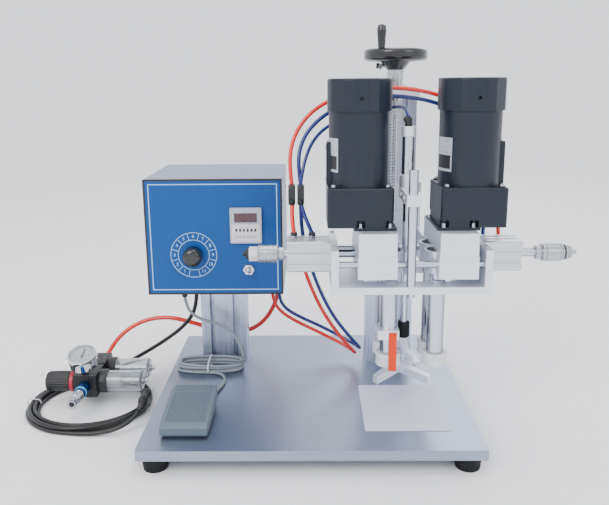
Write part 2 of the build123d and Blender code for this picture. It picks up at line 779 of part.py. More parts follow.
            # wheel with a shallow waist, keyed on the shaft's lower end
            with Locations((spindle_x, y, wheel_top - wheel_height)):
                Cylinder(wheel_radius, wheel_height, align=(Align.CENTER, Align.CENTER, Align.MIN))
        spindle.part.label = f"{name}_{place}_spindle"
        export_step(spindle.part, f"parts/{name}_{place}_spindle.step")


carriage(-1, "left", left_block_x)
carriage(1, "right", right_block_x)


# ---------------------------------------------------------------- presser
arm_top = arm_z + arm_height
arm_front_y = post_y - post_radius - 6
with BuildPart() as presser_post:
    with Locations((0, post_y, bracket_top)):
        Cylinder(post_radius, post_top - bracket_top, align=(Align.CENTER, Align.CENTER, Align.MIN))
    with Locations((0, post_y, bracket_z)):
        Cylinder(post_bolt_radius, bracket_thickness, align=(Align.CENTER, Align.CENTER, Align.MIN))
    with BuildSketch(Plane((0, post_y, bracket_z), z_dir=(0, 0, -1))):
        RegularPolygon(5.5, 6)
    extrude(amount=6)
presser_post.part.label = "presser_post"
export_step(presser_post.part, "parts/presser_post.step")

nose_radius = 7
with BuildPart() as presser_arm:
    with BuildSketch(Plane.XY.offset(arm_z)):
        with Locations((0, (arm_front_y + 13) / 2)):
            RectangleRounded(arm_width, 13 - arm_front_y, 1.5)
        with Locations((0, post_y)):
            Circle(post_radius + running_gap, mode=Mode.SUBTRACT)
        Circle(nose_radius + running_gap, mode=Mode.SUBTRACT)
    extrude(amount=arm_height)
presser_arm.part.label = "presser_arm"
export_step(presser_arm.part, "parts/presser_arm.step")

mini_bore_bottom = arm_top + 5
mini_bore_top = mini_cylinder_top - 6
piston_z = mini_bore_top - 12
elbow_top = mini_cylinder_top + 12
with BuildPart() as presser_cylinder:
    with Locations((0, 0, arm_top)):
        Cylinder(
            mini_cylinder_radius, mini_cylinder_top - arm_top,
            align=(Align.CENTER, Align.CENTER, Align.MIN),
        )
    with Locations((0, 0, arm_z)):
        Cylinder(nose_radius, arm_height, align=(Align.CENTER, Align.CENTER, Align.MIN))
    with Locations((0, 0, mini_cylinder_top)):
        Cylinder(5, elbow_top - mini_cylinder_top, align=(Align.CENTER, Align.CENTER, Align.MIN))
    with Locations((0, 0, mini_bore_bottom)):
        Cylinder(
            8.6, mini_bore_top - mini_bore_bottom,
            align=(Align.CENTER, Align.CENTER, Align.MIN), mode=Mode.SUBTRACT,
        )
    with Locations((0, 0, arm_z)):
        Cylinder(presser_rod_radius + running_gap, 60, mode=Mode.SUBTRACT)
presser_cylinder.part.label = "presser_cylinder"
export_step(presser_cylinder.part, "parts/presser_cylinder.step")

with BuildPart() as presser_rod:
    with Locations((0, 0, presser_bottom + plug_height)):
        Cylinder(
            presser_rod_radius, piston_z - presser_bottom - plug_height,
            align=(Align.CENTER, Align.CENTER, Align.MIN),
        )
    with Locations((0, 0, piston_z)):
        Cylinder(8.5, 8, align=(Align.CENTER, Align.CENTER, Align.MIN))
presser_rod.part.label = "presser_rod"
export_step(presser_rod.part, "parts/presser_rod.step")

with BuildPart() as presser_plug:
    with Locations((0, 0, presser_bottom)):
        Cylinder(plug_radius, plug_height, align=(Align.CENTER, Align.CENTER, Align.MIN))
    chamfer(presser_plug.edges().group_by(Axis.Z)[0], 1.5)
presser_plug.part.label = "presser_plug"
export_step(presser_plug.part, "parts/presser_plug.step")


# ---------------------------------------------------------------- cap stop and bottle locator
clamp_x = left_block_x + spindle_inset
clamp_y = -spindle_y
clamp_z = 128
clamp_height = 13.5
clamp_front_y = clamp_y - wheel_radius - 0.8
with BuildPart() as strip_clamp:
    with BuildSketch(Plane.XY.offset(clamp_z)):
        with Locations((clamp_x - 2, (clamp_front_y - 7) / 2)):
            RectangleRounded(31, -7 - clamp_front_y, 2)
        with Locations((clamp_x, clamp_y)):
            Circle(sleeve_radius + running_gap, mode=Mode.SUBTRACT)
        with Locations((clamp_x - 14, clamp_y)):
            Rectangle(16, 2, mode=Mode.SUBTRACT)
    extrude(amount=clamp_height)
strip_clamp.part.label = "strip_clamp"
export_step(strip_clamp.part, "parts/strip_clamp.step")

strip_width = 11
strip_length = 57
strip_thickness = 2.2
strip_top = clamp_z + clamp_height - 3
with BuildPart() as stop_strip:
    with Locations((clamp_x + 4, clamp_front_y - strip_thickness / 2, strip_top)):
        Box(strip_width, strip_thickness, strip_length, align=(Align.CENTER, Align.CENTER, Align.MAX))
    with Locations((clamp_x + 4, clamp_front_y - strip_thickness, strip_top - 6)):
        Cylinder(3, 2, rotation=(90, 0, 0), align=(Align.CENTER, Align.CENTER, Align.MIN))
stop_strip.part.label = "stop_strip"
export_step(stop_strip.part, "parts/stop_strip.step")

vee_z = 41
vee_height = 12
vee_apex_y = 40
vee_tip_y = -2
vee_tip_x = 38
vee_wall = 10
bar_x = 20
bar_size = 12
bar_gap = 0.15
with BuildPart() as vee_locator:
    with BuildSketch(Plane.XY.offset(vee_z)):
        Polygon(
            (-vee_tip_x, vee_tip_y), (0, vee_apex_y), (vee_tip_x, vee_tip_y),
            (vee_tip_x + 5, vee_tip_y + 8), (10, vee_apex_y + vee_wall),
            (-10, vee_apex_y + vee_wall), (-vee_tip_x - 5, vee_tip_y + 8),
            align=None,
        )
    extrude(amount=vee_height)
    with Locations((bar_x, vee_apex_y + 18, vee_z - 3)):
        Box(26, 28, vee_height + 6, align=(Align.CENTER, Align.CENTER, Align.MIN))
    with Locations((bar_x, vee_apex_y + 3, vee_z)):
        Box(
            bar_size + 2 * bar_gap, 80, bar_size + 2 * bar_gap,
            align=(Align.CENTER, Align.MIN, Align.MIN), mode=Mode.SUBTRACT,
        )
    # clamp screw with its knob on top of the slider
    with Locations((bar_x, vee_apex_y + 22, vee_z + vee_height + 3)):
        Cylinder(3, 3, align=(Align.CENTER, Align.CENTER, Align.MIN))
        Cylinder(6.5, 9, align=(Align.CENTER, Align.CENTER, Align.MIN))
vee_locator.part.label = "vee_locator"
export_step(vee_locator.part, "parts/vee_locator.step")

with BuildPart() as locator_bar:
    with Locations((bar_x, column_front_y, vee_z - 12)):
        Box(30, 8, 40, align=(Align.CENTER, Align.MAX, Align.MIN))
    with Locations((bar_x, column_front_y - 8, vee_z + bar_gap)):
        Box(
            bar_size, column_front_y - 8 - vee_apex_y - 10, bar_size,
            align=(Align.CENTER, Align.MAX, Align.MIN),
        )
    with Locations((bar_x, column_front_y - 8, vee_z + 22)):
        Cylinder(6.5, 10, rotation=(90, 0, 0), align=(Align.CENTER, Align.CENTER, Align.MIN))
locator_bar.part.label = "locator_bar"
export_step(locator_bar.part, "parts/locator_bar.step")


# ---------------------------------------------------------------- foot pedal
pedal_x = -316
pedal_width = 69
pedal_front_y = -79
pedal_back_y = 27
pedal_skin = 2.5
pedal_pin_y = -66
pedal_pin_z = 6
pedal_pin_radius = 2
with BuildPart() as pedal_base:
    base_width = pedal_width - 2 * pedal_skin - 1
    with BuildSketch(Plane.XY.offset(tray_top)):
        with Locations((pedal_x, (pedal_front_y + pedal_back_y) / 2)):
            RectangleRounded(base_width, pedal_back_y - pedal_front_y - 10, 4)
    extrude(amount=11)
    with Locations((pedal_x, pedal_pin_y, pedal_pin_z)):
        Cylinder(pedal_pin_radius + running_gap, 2 * pedal_width, rotation=(0, 90, 0), mode=Mode.SUBTRACT)
    # cable spout at the back
    with Locations((pedal_x + 24, pedal_back_y - 5, tray_top + 6)):
        Cylinder(4.5, 10, rotation=(-90, 0, 0), align=(Align.CENTER, Align.CENTER, Align.MIN))
pedal_base.part.label = "pedal_base"
export_step(pedal_base.part, "parts/pedal_base.step")

with BuildPart() as pedal_treadle:
    with BuildSketch(Plane.YZ.offset(pedal_x - pedal_width / 2)):
        Polygon(
            (pedal_front_y, 2.5), (pedal_front_y, 17), (pedal_back_y - 4, 30),
            (pedal_back_y, 27), (pedal_back_y, 9), align=None,
        )
    extrude(amount=pedal_width)
    fillet(pedal_treadle.edges().filter_by(Axis.Z), 5)
    with BuildSketch(Plane.YZ.offset(pedal_x - pedal_width / 2 + pedal_skin)):
        Polygon(
            (pedal_front_y + 4, -5), (pedal_front_y + 4, 13.5), (pedal_back_y - 3, 25),
            (pedal_back_y - 3, -5), align=None,
        )
    extrude(amount=pedal_width - 2 * pedal_skin, mode=Mode.SUBTRACT)
    with Locations((pedal_x + 24, pedal_back_y - 5, 4)):
        Box(11, 20, 24, mode=Mode.SUBTRACT)
    with Locations((pedal_x, pedal_pin_y, pedal_pin_z)):
        Cylinder(pedal_pin_radius, pedal_width, rotation=(0, 90, 0))
pedal_treadle.part.label = "pedal_treadle"
export_step(pedal_treadle.part, "parts/pedal_treadle.step")


# ---------------------------------------------------------------- cord coils on the floor and tray
power_coil_x = -500
power_coil_y = 84
power_coil_rx = 106
power_coil_ry = 98
power_coil_band = 22
power_coil_height = 18
with BuildPart() as power_cord_coil:
    with BuildSketch(Plane.XY.offset(floor_z)):
        with Locations((power_coil_x, power_coil_y)):
            Ellipse(power_coil_rx, power_coil_ry)
            Ellipse(
                power_coil_rx - power_coil_band, power_coil_ry - power_coil_band,
                mode=Mode.SUBTRACT,
            )
    extrude(amount=power_coil_height)
power_cord_coil.part.label = "power_cord_coil"
export_step(power_cord_coil.part, "parts/power_cord_coil.step")

coil_top = floor_z + power_coil_height
plug_x = -404
plug_y = 52
plug_width = 26
plug_length = 34
plug_depth = 16
pin_spacing = 12
plug_axis_z = coil_top + seat_gap + plug_depth / 2
with BuildPart() as power_plug:
    with Locations((plug_x, plug_y, coil_top + seat_gap)):
        Box(plug_width, plug_length, plug_depth, align=(Align.CENTER, Align.CENTER, Align.MIN))
    fillet(power_plug.edges().filter_by(Axis.Z), 5)
    with Locations((plug_x, plug_y + plug_length / 2, plug_axis_z)):
        with Locations((-pin_spacing / 2, 0, 0), (pin_spacing / 2, 0, 0)):
            Cylinder(2, 18, rotation=(-90, 0, 0), align=(Align.CENTER, Align.CENTER, Align.MIN))
    # strain relief where the cord goes in
    with Locations((plug_x, plug_y - plug_length / 2, plug_axis_z)):
        Cylinder(5, 18, rotation=(90, 0, 0), align=(Align.CENTER, Align.CENTER, Align.MIN))
power_plug.part.label = "power_plug"
export_step(power_plug.part, "parts/power_plug.step")

pedal_coil_x = -310
pedal_coil_y = 146
with BuildPart() as pedal_cable_coil:
    with BuildSketch(Plane.XY.offset(tray_top)):
        with Locations((pedal_coil_x, pedal_coil_y)):
            SlotOverall(120, 50)
            SlotOverall(84, 14, mode=Mode.SUBTRACT)
    extrude(amount=20)
pedal_cable_coil.part.label = "pedal_cable_coil"
export_step(pedal_cable_coil.part, "parts/pedal_cable_coil.step")


# ---------------------------------------------------------------- filter, regulator and lubricator
unit_x = -508
unit_z = coil_top + seat_gap
unit_size = 38
regulator_y = 100
lubricator_y = 148
unit_length_y = 44
axis_z = unit_z + unit_size / 2
bowl_radius = 17
bowl_length = 72
ring_gap = seat_gap
knob_start_x = unit_x - unit_size / 2 - ring_gap
with BuildPart() as air_unit_body:
    for y in (regulator_y, lubricator_y):
        with Locations((unit_x, y, axis_z)):
            Box(unit_size, unit_length_y, unit_size)
    with Locations((unit_x, (regulator_y + lubricator_y) / 2, axis_z)):
        Box(24, lubricator_y - regulator_y - unit_length_y + 1, 24)
    # collars that hold the bowls, and the regulator's threaded neck
    for y in (regulator_y, lubricator_y):
        with Locations((unit_x + unit_size / 2, y, axis_z)):
            Cylinder(
                bowl_radius + 1.6, 14, rotation=(0, 90, 0),
                align=(Align.CENTER, Align.CENTER, Align.MIN),
            )
    with Locations((unit_x - unit_size / 2, regulator_y, axis_z)):
        Cylinder(
            7, 12, rotation=(0, -90, 0), align=(Align.CENTER, Align.CENTER, Align.MIN)
        )
    # inlet: blue push fitting, then the steel quick coupler; outlet: hose fitting
    inlet_y = regulator_y - unit_length_y / 2
    with Locations((unit_x, inlet_y, axis_z)):
        Cylinder(9, 26, rotation=(90, 0, 0), align=(Align.CENTER, Align.CENTER, Align.MIN))
    with Locations((unit_x, inlet_y - 26, axis_z)):
        Cylinder(7, 34, rotation=(90, 0, 0), align=(Align.CENTER, Align.CENTER, Align.MIN))
    outlet_y = lubricator_y + unit_length_y / 2
    with Locations((unit_x, outlet_y, axis_z)):
        Cylinder(7.5, 14, rotation=(-90, 0, 0), align=(Align.CENTER, Align.CENTER, Align.MIN))
    # boss on top that carries the gauge
    with Locations((unit_x - 6, regulator_y, unit_z + unit_size)):
        Cylinder(6, 4, align=(Align.CENTER, Align.CENTER, Align.MIN))
air_unit_body.part.label = "air_unit_body"
export_step(air_unit_body.part, "parts/air_unit_body.step")

with BuildPart() as air_unit_bowls:
    for y in (regulator_y, lubricator_y):
        with Locations((unit_x + unit_size / 2 + 14, y, axis_z)):
            Cylinder(
                bowl_radius, bowl_length - 14, rotation=(0, 90, 0),
                align=(Align.CENTER, Align.CENTER, Align.MIN),
            )
            Cylinder(
                bowl_radius - 2, bowl_length - 18, rotation=(0, 90, 0),
                align=(Align.CENTER, Align.CENTER, Align.MIN), mode=Mode.SUBTRACT,
            )
    fillet(air_unit_bowls.edges().filter_by(GeomType.CIRCLE).group_by(Axis.X)[-1], 4)
air_unit_bowls.part.label = "air_unit_bowls"
export_step(air_unit_bowls.part, "parts/air_unit_bowls.step")

with BuildPart() as regulator_knob:
    with Locations((knob_start_x, regulator_y, axis_z)):
        Cylinder(18, 9, rotation=(0, -90, 0), align=(Align.CENTER, Align.CENTER, Align.MIN))
        Cylinder(16.5, 50, rotation=(0, -90, 0), align=(Align.CENTER, Align.CENTER, Align.MIN))
        Cylinder(
            7 + running_gap, 15, rotation=(0, -90, 0),
            align=(Align.CENTER, Align.CENTER, Align.MIN), mode=Mode.SUBTRACT,
        )
regulator_knob.part.label = "regulator_knob"
export_step(regulator_knob.part, "parts/regulator_knob.step")

gauge_radius = 23
gauge_depth = 20
gauge_tilt = 20
gauge_centre = (unit_x - 6, regulator_y - 4, unit_z + unit_size + 22)
gauge_axis = (0, -math.sin(math.radians(gauge_tilt)), math.cos(math.radians(gauge_tilt)))
gauge_plane = Plane(gauge_centre, x_dir=(1, 0, 0), z_dir=gauge_axis)
face_depth = 5
with BuildPart() as gauge_body:
    with BuildSketch(gauge_plane.offset(-gauge_depth / 2)):
        Circle(gauge_radius)
    extrude(amount=gauge_depth)
    with BuildSketch(gauge_plane.offset(gauge_depth / 2 - face_depth)):
        Circle(gauge_radius - 2.2)
    extrude(amount=2 * face_depth, mode=Mode.SUBTRACT)
    with Locations((unit_x - 6, regulator_y, unit_z + unit_size + 4)):
        Cylinder(4.5, 14, align=(Align.CENTER, Align.CENTER, Align.MIN))
    with BuildSketch(gauge_plane.offset(gauge_depth / 2 - face_depth)):
        Circle(0.8)
    extrude(amount=2.5)
gauge_body.part.label = "gauge_body"
export_step(gauge_body.part, "parts/gauge_body.step")

with BuildPart() as gauge_needle:
    with BuildSketch(gauge_plane.offset(gauge_depth / 2 - face_depth + 1)):
        Circle(2.4)
        with Locations((0, 5)):
            Rectangle(1.6, 22)
        Circle(0.8 + running_gap, mode=Mode.SUBTRACT)
    extrude(amount=1)
gauge_needle.part.label = "gauge_needle"
export_step(gauge_needle.part, "parts/gauge_needle.step")


# ---------------------------------------------------------------- cords and hoses
def corner_radii(points):
    """The largest even arc at each corner of a route: 0.45 of the shorter run over the half turn."""
    vectors = [Vector(*point) for point in points]
    radii = []
    for before, at, after in zip(vectors, vectors[1:], vectors[2:]):
        turn = math.radians((at - before).get_angle(after - at))
        shorter = min((at - before).length, (after - at).length)
        radii.append(0.45 * shorter / math.tan(turn / 2))
    return radii


def cord_tube(name, points, radius):
    """A solid tube along straight runs joined by tangent arcs."""
    radii = corner_radii(points)
    with BuildPart() as tube:
        with BuildLine() as route:
            FilletPolyline(*points, radius=radii)
        path = route.wires()[0]
        with BuildSketch(Plane(path @ 0, z_dir=path % 0)):
            Circle(radius)
        sweep()
    expected = math.pi * radius**2 * path.length
    print(
        f"{name}: length {path.length:.0f}, tightest arc {min(radii):.0f},"
        f" volume {tube.part.volume:.0f} of {expected:.0f}"
    )
    return tube.part


gland_exit_z = box_bottom - gland_length
riser_exit_z = gland_exit_z - 2 * seat_gap

power_cord_radius = 3.5
power_route = [
    (power_gland[0], power_gland[1], gland_exit_z),
    (-335, 167, 108),
    (-348, 174, 80),
    (-372, 184, 54),
    (-402, 194, 30),
    (-434, 200, 8),
    (-466, 200, -10),
    (-494, 190, -23),
    (-515, 173, -29),
]
with BuildPart() as power_cord:
    add(cord_tube("power_cord", power_route, power_cord_radius))
power_cord.part.label = "power_cord"
export_step(power_cord.part, "parts/power_cord.step")

pedal_cable_radius = 2.5
pedal_riser_route = [
    (pedal_gland[0], pedal_gland[1], gland_exit_z),
    (-345, 131, 116),
    (-331, 134, 98),
    (-308, 138, 88),
    (-284, 141, 80),
    (-266, 143, 62),
    (-258, 144, 38),
    (-262, 146, 16),
]
pedal_lead_route = [
    (pedal_x + 24, pedal_back_y + 5, tray_top + 6),
    (-291, 50, 4),
    (-286, 70, 2.2),
    (-281, 92, 2.2),
    (-279, 112, 4),
    (-282, 128, 8),
]
with BuildPart() as pedal_cable:
    add(cord_tube("pedal riser", pedal_riser_route, pedal_cable_radius))
    add(cord_tube("pedal lead", pedal_lead_route, pedal_cable_radius))
pedal_cable.part.label = "pedal_cable"
export_step(pedal_cable.part, "parts/pedal_cable.step")

air_hose_radius = 4
air_route = [
    (unit_x, outlet_y + 14, axis_z),
    (-506, 206, 6),
    (-494, 226, 24),
    (-470, 240, 42),
    (-436, 246, 54),
    (-398, 246, 56),
    (-360, 243, 47),
    (-320, 240, 35),
    (-282, 238, 28),
    (-248, 235, 34),
    (-220, 230, 56),
    (-202, 225, 88),
    (air_gland[0] - 1, 223, 114),
    (air_gland[0], air_gland[1], gland_exit_z),
]
with BuildPart() as air_hose:
    add(cord_tube("air_hose", air_route, air_hose_radius))
air_hose.part.label = "air_hose"
export_step(air_hose.part, "parts/air_hose.step")

hose_radius = 3
splitter_z = 312
splitter_height = 28
red_splitter = (-163, 28)
blue_splitter = (-150, 28)
red_riser = [
    (red_gland[0], red_gland[1], riser_exit_z),
    (-203, 180, 112),
    (-190, 186, 88),
    (-164, 192, 68),
    (-132, 197, 50),
    (-100, 197, 33),
    (-72, 188, 21),
    (-58, 166, 18),
    (-62, 142, 30),
    (-80, 128, 56),
    (-102, 120, 88),
    (-122, 110, 126),
    (-138, 96, 168),
    (-150, 77, 210),
    (-159, 56, 250),
    (-163, 38, 284),
    (red_splitter[0], red_splitter[1], splitter_z),
]
blue_riser = [
    (blue_gland[0], blue_gland[1], riser_exit_z),
    (-192, 180, 114),
    (-180, 187, 92),
    (-154, 194, 74),
    (-122, 199, 57),
    (-90, 198, 40),
    (-63, 187, 29),
    (-50, 165, 27),
    (-54, 141, 40),
    (-72, 127, 66),
    (-94, 118, 97),
    (-113, 108, 134),
    (-128, 94, 174),
    (-139, 76, 214),
    (-147, 56, 252),
    (-150, 38, 286),
    (blue_splitter[0], blue_splitter[1], splitter_z),
]
red_long = [
    (red_splitter[0], red_splitter[1] + 5, splitter_z + splitter_height),
    (-166, 37, 366),
    (-164, 44, 394),
    (-153, 51, 421),
    (-132, 56, 445),
    (-102, 59, 462),
    (-68, 60, 472),
    (-34, 60, 477),
    (0, 59, 476),
    (34, 58, 471),
    (68, 58, 460),
    (100, 59, 443),
    (126, 60, 418),
    (142, 61, 388),
    (149, 62, 354),
    (150, 63, 320),
    (149, 63, 290),
    (148, 58, 264),
    (147, 46, 248),
    (146, 33, 243),
]
blue_long = [
    (blue_splitter[0], blue_splitter[1] + 5, splitter_z + splitter_height),
    (-153, 37, 364),
    (-152, 44, 388),
    (-142, 51, 412),
    (-122, 57, 433),
    (-96, 60, 449),
    (-66, 62, 459),
    (-33, 62, 465),
    (0, 61, 464),
    (33, 60, 459),
    (64, 60, 449),
    (92, 61, 432),
    (114, 62, 408),
    (127, 63, 378),
    (131, 63, 345),
    (130, 63, 312),
    (128, 62, 284),
    (125, 57, 262),
    (123, 46, 248),
    (122, 33, 243),
]
blue_short = [
    (blue_splitter[0], blue_splitter[1] - 5, splitter_z + splitter_height),
    (-147, 26, 361),
    (-141, 35, 383),
    (-131, 46, 403),
    (-114, 53, 420),
    (-88, 56, 433),
    (-60, 57, 441),
    (-33, 53, 447),
    (-14, 40, 450),
    (-5, 23, 450),
    (-1, 9, 446),
    (0, 0, elbow_top),
]
drop_red = [
    (red_splitter[0] + 1, red_splitter[1] - 9, splitter_z),
    (-163, 15, 299),
    (-162, 9, 286),
    (-160, 6, 273),
]
drop_blue = [
    (blue_splitter[0] + 1, blue_splitter[1] - 9, splitter_z),
    (-146, 15, 300),
    (-140, 9, 287),
    (-134, 6, 273),
]
with BuildPart() as head_hoses:
    add(cord_tube("red riser", red_riser, hose_radius))
    add(cord_tube("blue riser", blue_riser, hose_radius))
    add(cord_tube("red long", red_long, hose_radius))
    add(cord_tube("blue long", blue_long, hose_radius))
    add(cord_tube("blue short", blue_short, hose_radius - 0.5))
    add(cord_tube("red drop", drop_red, hose_radius))
    add(cord_tube("blue drop", drop_blue, hose_radius))
    for x, y in (red_splitter, blue_splitter):
        with Locations((x, y, splitter_z)):
            Box(11, 20, splitter_height, align=(Align.CENTER, Align.CENTER, Align.MIN))
head_hoses.part.label = "head_hoses"
export_step(head_hoses.part, "parts/head_hoses.step")
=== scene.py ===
import math

import bmesh
import bpy
from mathutils import Matrix, Vector


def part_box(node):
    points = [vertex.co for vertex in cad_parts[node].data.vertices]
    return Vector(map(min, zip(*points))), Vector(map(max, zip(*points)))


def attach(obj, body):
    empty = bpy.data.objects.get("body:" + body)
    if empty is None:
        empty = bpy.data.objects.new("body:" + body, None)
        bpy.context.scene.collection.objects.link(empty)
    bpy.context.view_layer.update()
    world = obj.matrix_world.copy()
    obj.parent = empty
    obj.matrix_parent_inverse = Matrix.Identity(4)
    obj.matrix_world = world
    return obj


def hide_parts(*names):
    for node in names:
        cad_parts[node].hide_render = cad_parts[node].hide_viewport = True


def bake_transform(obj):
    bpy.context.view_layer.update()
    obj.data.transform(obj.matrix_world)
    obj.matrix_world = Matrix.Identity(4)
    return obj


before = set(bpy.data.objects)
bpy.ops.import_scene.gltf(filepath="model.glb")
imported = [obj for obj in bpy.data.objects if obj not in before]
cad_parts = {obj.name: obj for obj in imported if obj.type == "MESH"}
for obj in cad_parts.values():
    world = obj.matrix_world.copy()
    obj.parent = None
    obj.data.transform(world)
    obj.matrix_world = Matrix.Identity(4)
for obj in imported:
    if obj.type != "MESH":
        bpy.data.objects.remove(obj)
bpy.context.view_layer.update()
scene = bpy.context.scene
mm = 0.001  # everything below is built in metres, and most sizes read in millimetres
floorLevel = -38  # the bench, in millimetres
floorZ = floorLevel * mm
print("frame loaded:", len(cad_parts), "nodes")


cameraSet = {"place": (-0.1369, -0.8964, 0.4862), "pitch": 11.97, "yaw": -0.57, "roll": 0.48,
             "lens": 38.09, "shift": (0.0015, -0.0563)}


def makeCamera():
    pitch, yaw, roll = (math.radians(cameraSet[k]) for k in ("pitch", "yaw", "roll"))
    forward = Vector((math.sin(yaw) * math.cos(pitch), math.cos(yaw) * math.cos(pitch), -math.sin(pitch)))
    right = Vector((math.cos(yaw), -math.sin(yaw), 0))
    down = forward.cross(right)
    rolledRight = math.cos(roll) * right + math.sin(roll) * down
    rolledDown = -math.sin(roll) * right + math.cos(roll) * down
    data = bpy.data.cameras.new("camera")
    data.lens = cameraSet["lens"]
    data.sensor_width = 36
    data.shift_x, data.shift_y = cameraSet["shift"]
    data.clip_end = 50
    camera = bpy.data.objects.new("camera", data)
    scene.collection.objects.link(camera)
    turn = Matrix((rolledRight, -rolledDown, -forward)).transposed().to_4x4()
    camera.matrix_world = Matrix.Translation(cameraSet["place"]) @ turn
    scene.camera = camera


makeCamera()


def hexColour(text):
    # sRGB hex to the linear colour that the shader wants
    parts = [int(text[i:i + 2], 16) / 255 for i in (1, 3, 5)]
    return tuple(c / 12.92 if c <= 0.04045 else ((c + 0.055) / 1.055) ** 2.4 for c in parts) + (1,)


def addNode(material, kind, settings=None, links=None):
    # one node with its settings and links; a settings key is a socket's name or an attribute
    tree = material.node_tree
    node = tree.nodes.new(kind)
    for key, value in (settings or {}).items():
        if key in node.inputs:
            node.inputs[key].default_value = value
        else:
            setattr(node, key, value)
    for key, source in (links or {}).items():
        tree.links.new(source, node.inputs[key])
    return node


def makeFinish(name, colour, roughness, grainMm, stretch=(1, 1, 1), low=None, high=None, rough=None,
               bump=0.0, height=0.05, **settings):
    # one shader, and a noise of one real grain size that drives its colour between two hexes, its
    # roughness between two values, and its bump of a height in millimetres
    material = bpy.data.materials.new(name)
    material.use_nodes = True
    tree = material.node_tree
    shader = tree.nodes["Principled BSDF"]
    shader.inputs["Base Color"].default_value = hexColour(colour)
    shader.inputs["Roughness"].default_value = roughness
    for key, value in settings.items():
        shader.inputs[key.replace("_", " ")].default_value = value
    place = addNode(material, "ShaderNodeTexCoord")
    mapping = addNode(material, "ShaderNodeMapping", {"Scale": stretch}, {"Vector": place.outputs["Object"]})
    noise = addNode(material, "ShaderNodeTexNoise", {"Scale": 1 / (grainMm * mm), "Detail": 3},
                    {"Vector": mapping.outputs["Vector"]})
    lowNoise, highNoise = 0.3, 0.7  # nearly all of the noise lies between these
    if low:
        ramp = addNode(material, "ShaderNodeValToRGB", links={"Fac": noise.outputs["Fac"]})
        for stop, position, tone in zip(ramp.color_ramp.elements, (lowNoise, highNoise), (low, high)):
            stop.position = position
            stop.color = hexColour(tone)
        tree.links.new(ramp.outputs["Color"], shader.inputs["Base Color"])
    if rough:
        spread = addNode(material, "ShaderNodeMapRange",
                         {"From Min": lowNoise, "From Max": highNoise, "To Min": rough[0],
                          "To Max": rough[1]},
                         {"Value": noise.outputs["Fac"]})
        tree.links.new(spread.outputs["Result"], shader.inputs["Roughness"])
    if bump:
        relief = addNode(material, "ShaderNodeBump", {"Strength": bump, "Distance": height * mm},
                         {"Height": noise.outputs["Fac"]})
        tree.links.new(relief.outputs["Normal"], shader.inputs["Normal"])
    return material


# 304 sheet, belt brushed along its length: long streaks that smear every reflection sideways
steel = makeFinish("brushedStainless", "#9ba2b5", 0.36, 0.9, (0.015, 1, 1), "#959cb0", "#a2a9bb",
                   (0.33, 0.40), 0.05, 0.02, Metallic=1.0)
# 6063 profile, clear anodised: satin with faint die lines up its length
profile = makeFinish("extrudedAluminium", "#ccd3e6", 0.3, 1.6, (1, 1, 0.015), "#c3cbdf", "#d5dbec",
                     (0.25, 0.38), 0.06, 0.03, Metallic=0.92)
# 6061 block, bead blasted and clear anodised: even, pale and soft, with a fine sparkle of dimples
blasted = makeFinish("blastedAluminium", "#e4e8f2", 0.42, 0.5, (1, 1, 1), "#dde1ec", "#ebeef6", (0.36, 0.50),
                     0.25, 0.03, Metallic=0.75)
# air cylinder body, hard anodised extrusion: fine lines along the stroke
cylinderSkin = makeFinish("extrudedCylinder", "#cfd3da", 0.34, 1.2, (0.02, 1, 1), "#c0c4cd", "#dcdfe5",
                          (0.28, 0.42), 0.06, 0.03, Metallic=0.85)
# hard chromed bar, centreless ground: a painted highlight along its middle and painted shade towards the edges
# that turn away from the view
ground = makeFinish("groundSteel", "#b4b9c4", 0.2, 1.2, (1, 1, 0.3), rough=(0.16, 0.26), bump=0.04,
                    height=0.01, Metallic=1.0)
# painted highlight and shade: the base colour runs light where the surface faces the view and dark where it turns
# away
facing = addNode(ground, "ShaderNodeLayerWeight", {"Blend": 0.4})
paintedLightRamp = addNode(ground, "ShaderNodeValToRGB", links={"Fac": facing.outputs["Facing"]})
for stop, position, colour in zip(paintedLightRamp.color_ramp.elements, (0.12, 0.75), ("#ccd1dc", "#4e535f")):
    stop.position = position
    stop.color = hexColour(colour)
groundShader = ground.node_tree.nodes["Principled BSDF"]
ground.node_tree.links.new(paintedLightRamp.outputs["Color"], groundShader.inputs["Base Color"])
# free-cutting steel, turned: bright bands round the axis
turned = makeFinish("turnedSteel", "#b4b7bd", 0.26, 0.7, (1, 0.1, 0.1), "#a3a6ad", "#c4c7cd", (0.2, 0.34),
                    0.05, 0.02, Metallic=1.0)
# brass under bright chrome: mirror with only a trace of haze
chrome = makeFinish("chromePlate", "#d9dbdf", 0.08, 6, rough=(0.06, 0.12), Metallic=1.0)
# cut and oiled gear steel: darker, satin
gearMetal = makeFinish("gearSteel", "#7d8087", 0.35, 0.8, (1, 1, 0.2), rough=(0.28, 0.42), Metallic=1.0)
# powder coat on steel sheet: fine orange peel and a slight blue-grey
cabinet = makeFinish("cabinetPaint", "#78829f", 0.42, 1.4, low="#737d9a", high="#7e88a5", rough=(0.38, 0.48),
                     bump=0.12, height=0.05, Coat_Weight=0.1)
# screen-printed film on aluminium: flat deep blue, satin, with a fine texture
film = makeFinish("panelFilm", "#074688", 0.42, 0.8, low="#064281", high="#094c92", rough=(0.34, 0.44),
                  bump=0.08, height=0.02, Specular_IOR_Level=0.25, Coat_Weight=0.05)
# white screen ink over the blue film, thin enough to let some blue through
ink = makeFinish("printedLine", "#9cc8f0", 0.5, 1.0, low="#8bbdec", high="#aed4f5")
# baked enamel on cast aluminium: dark slate, satin, faintly mottled
enamel = makeFinish("motorEnamel", "#171e29", 0.38, 1.8, low="#151b25", high="#1a222e", rough=(0.32, 0.42),
                    bump=0.08, height=0.04, Specular_IOR_Level=0.3, Coat_Weight=0.08, Coat_Roughness=0.3)
# glass-filled nylon, moulded: near black with a fine spark texture
moulding = makeFinish("blackMoulding", "#17181b", 0.42, 0.7, low="#141518", high="#1d1e22", rough=(0.36, 0.5),
                      bump=0.15, height=0.03)
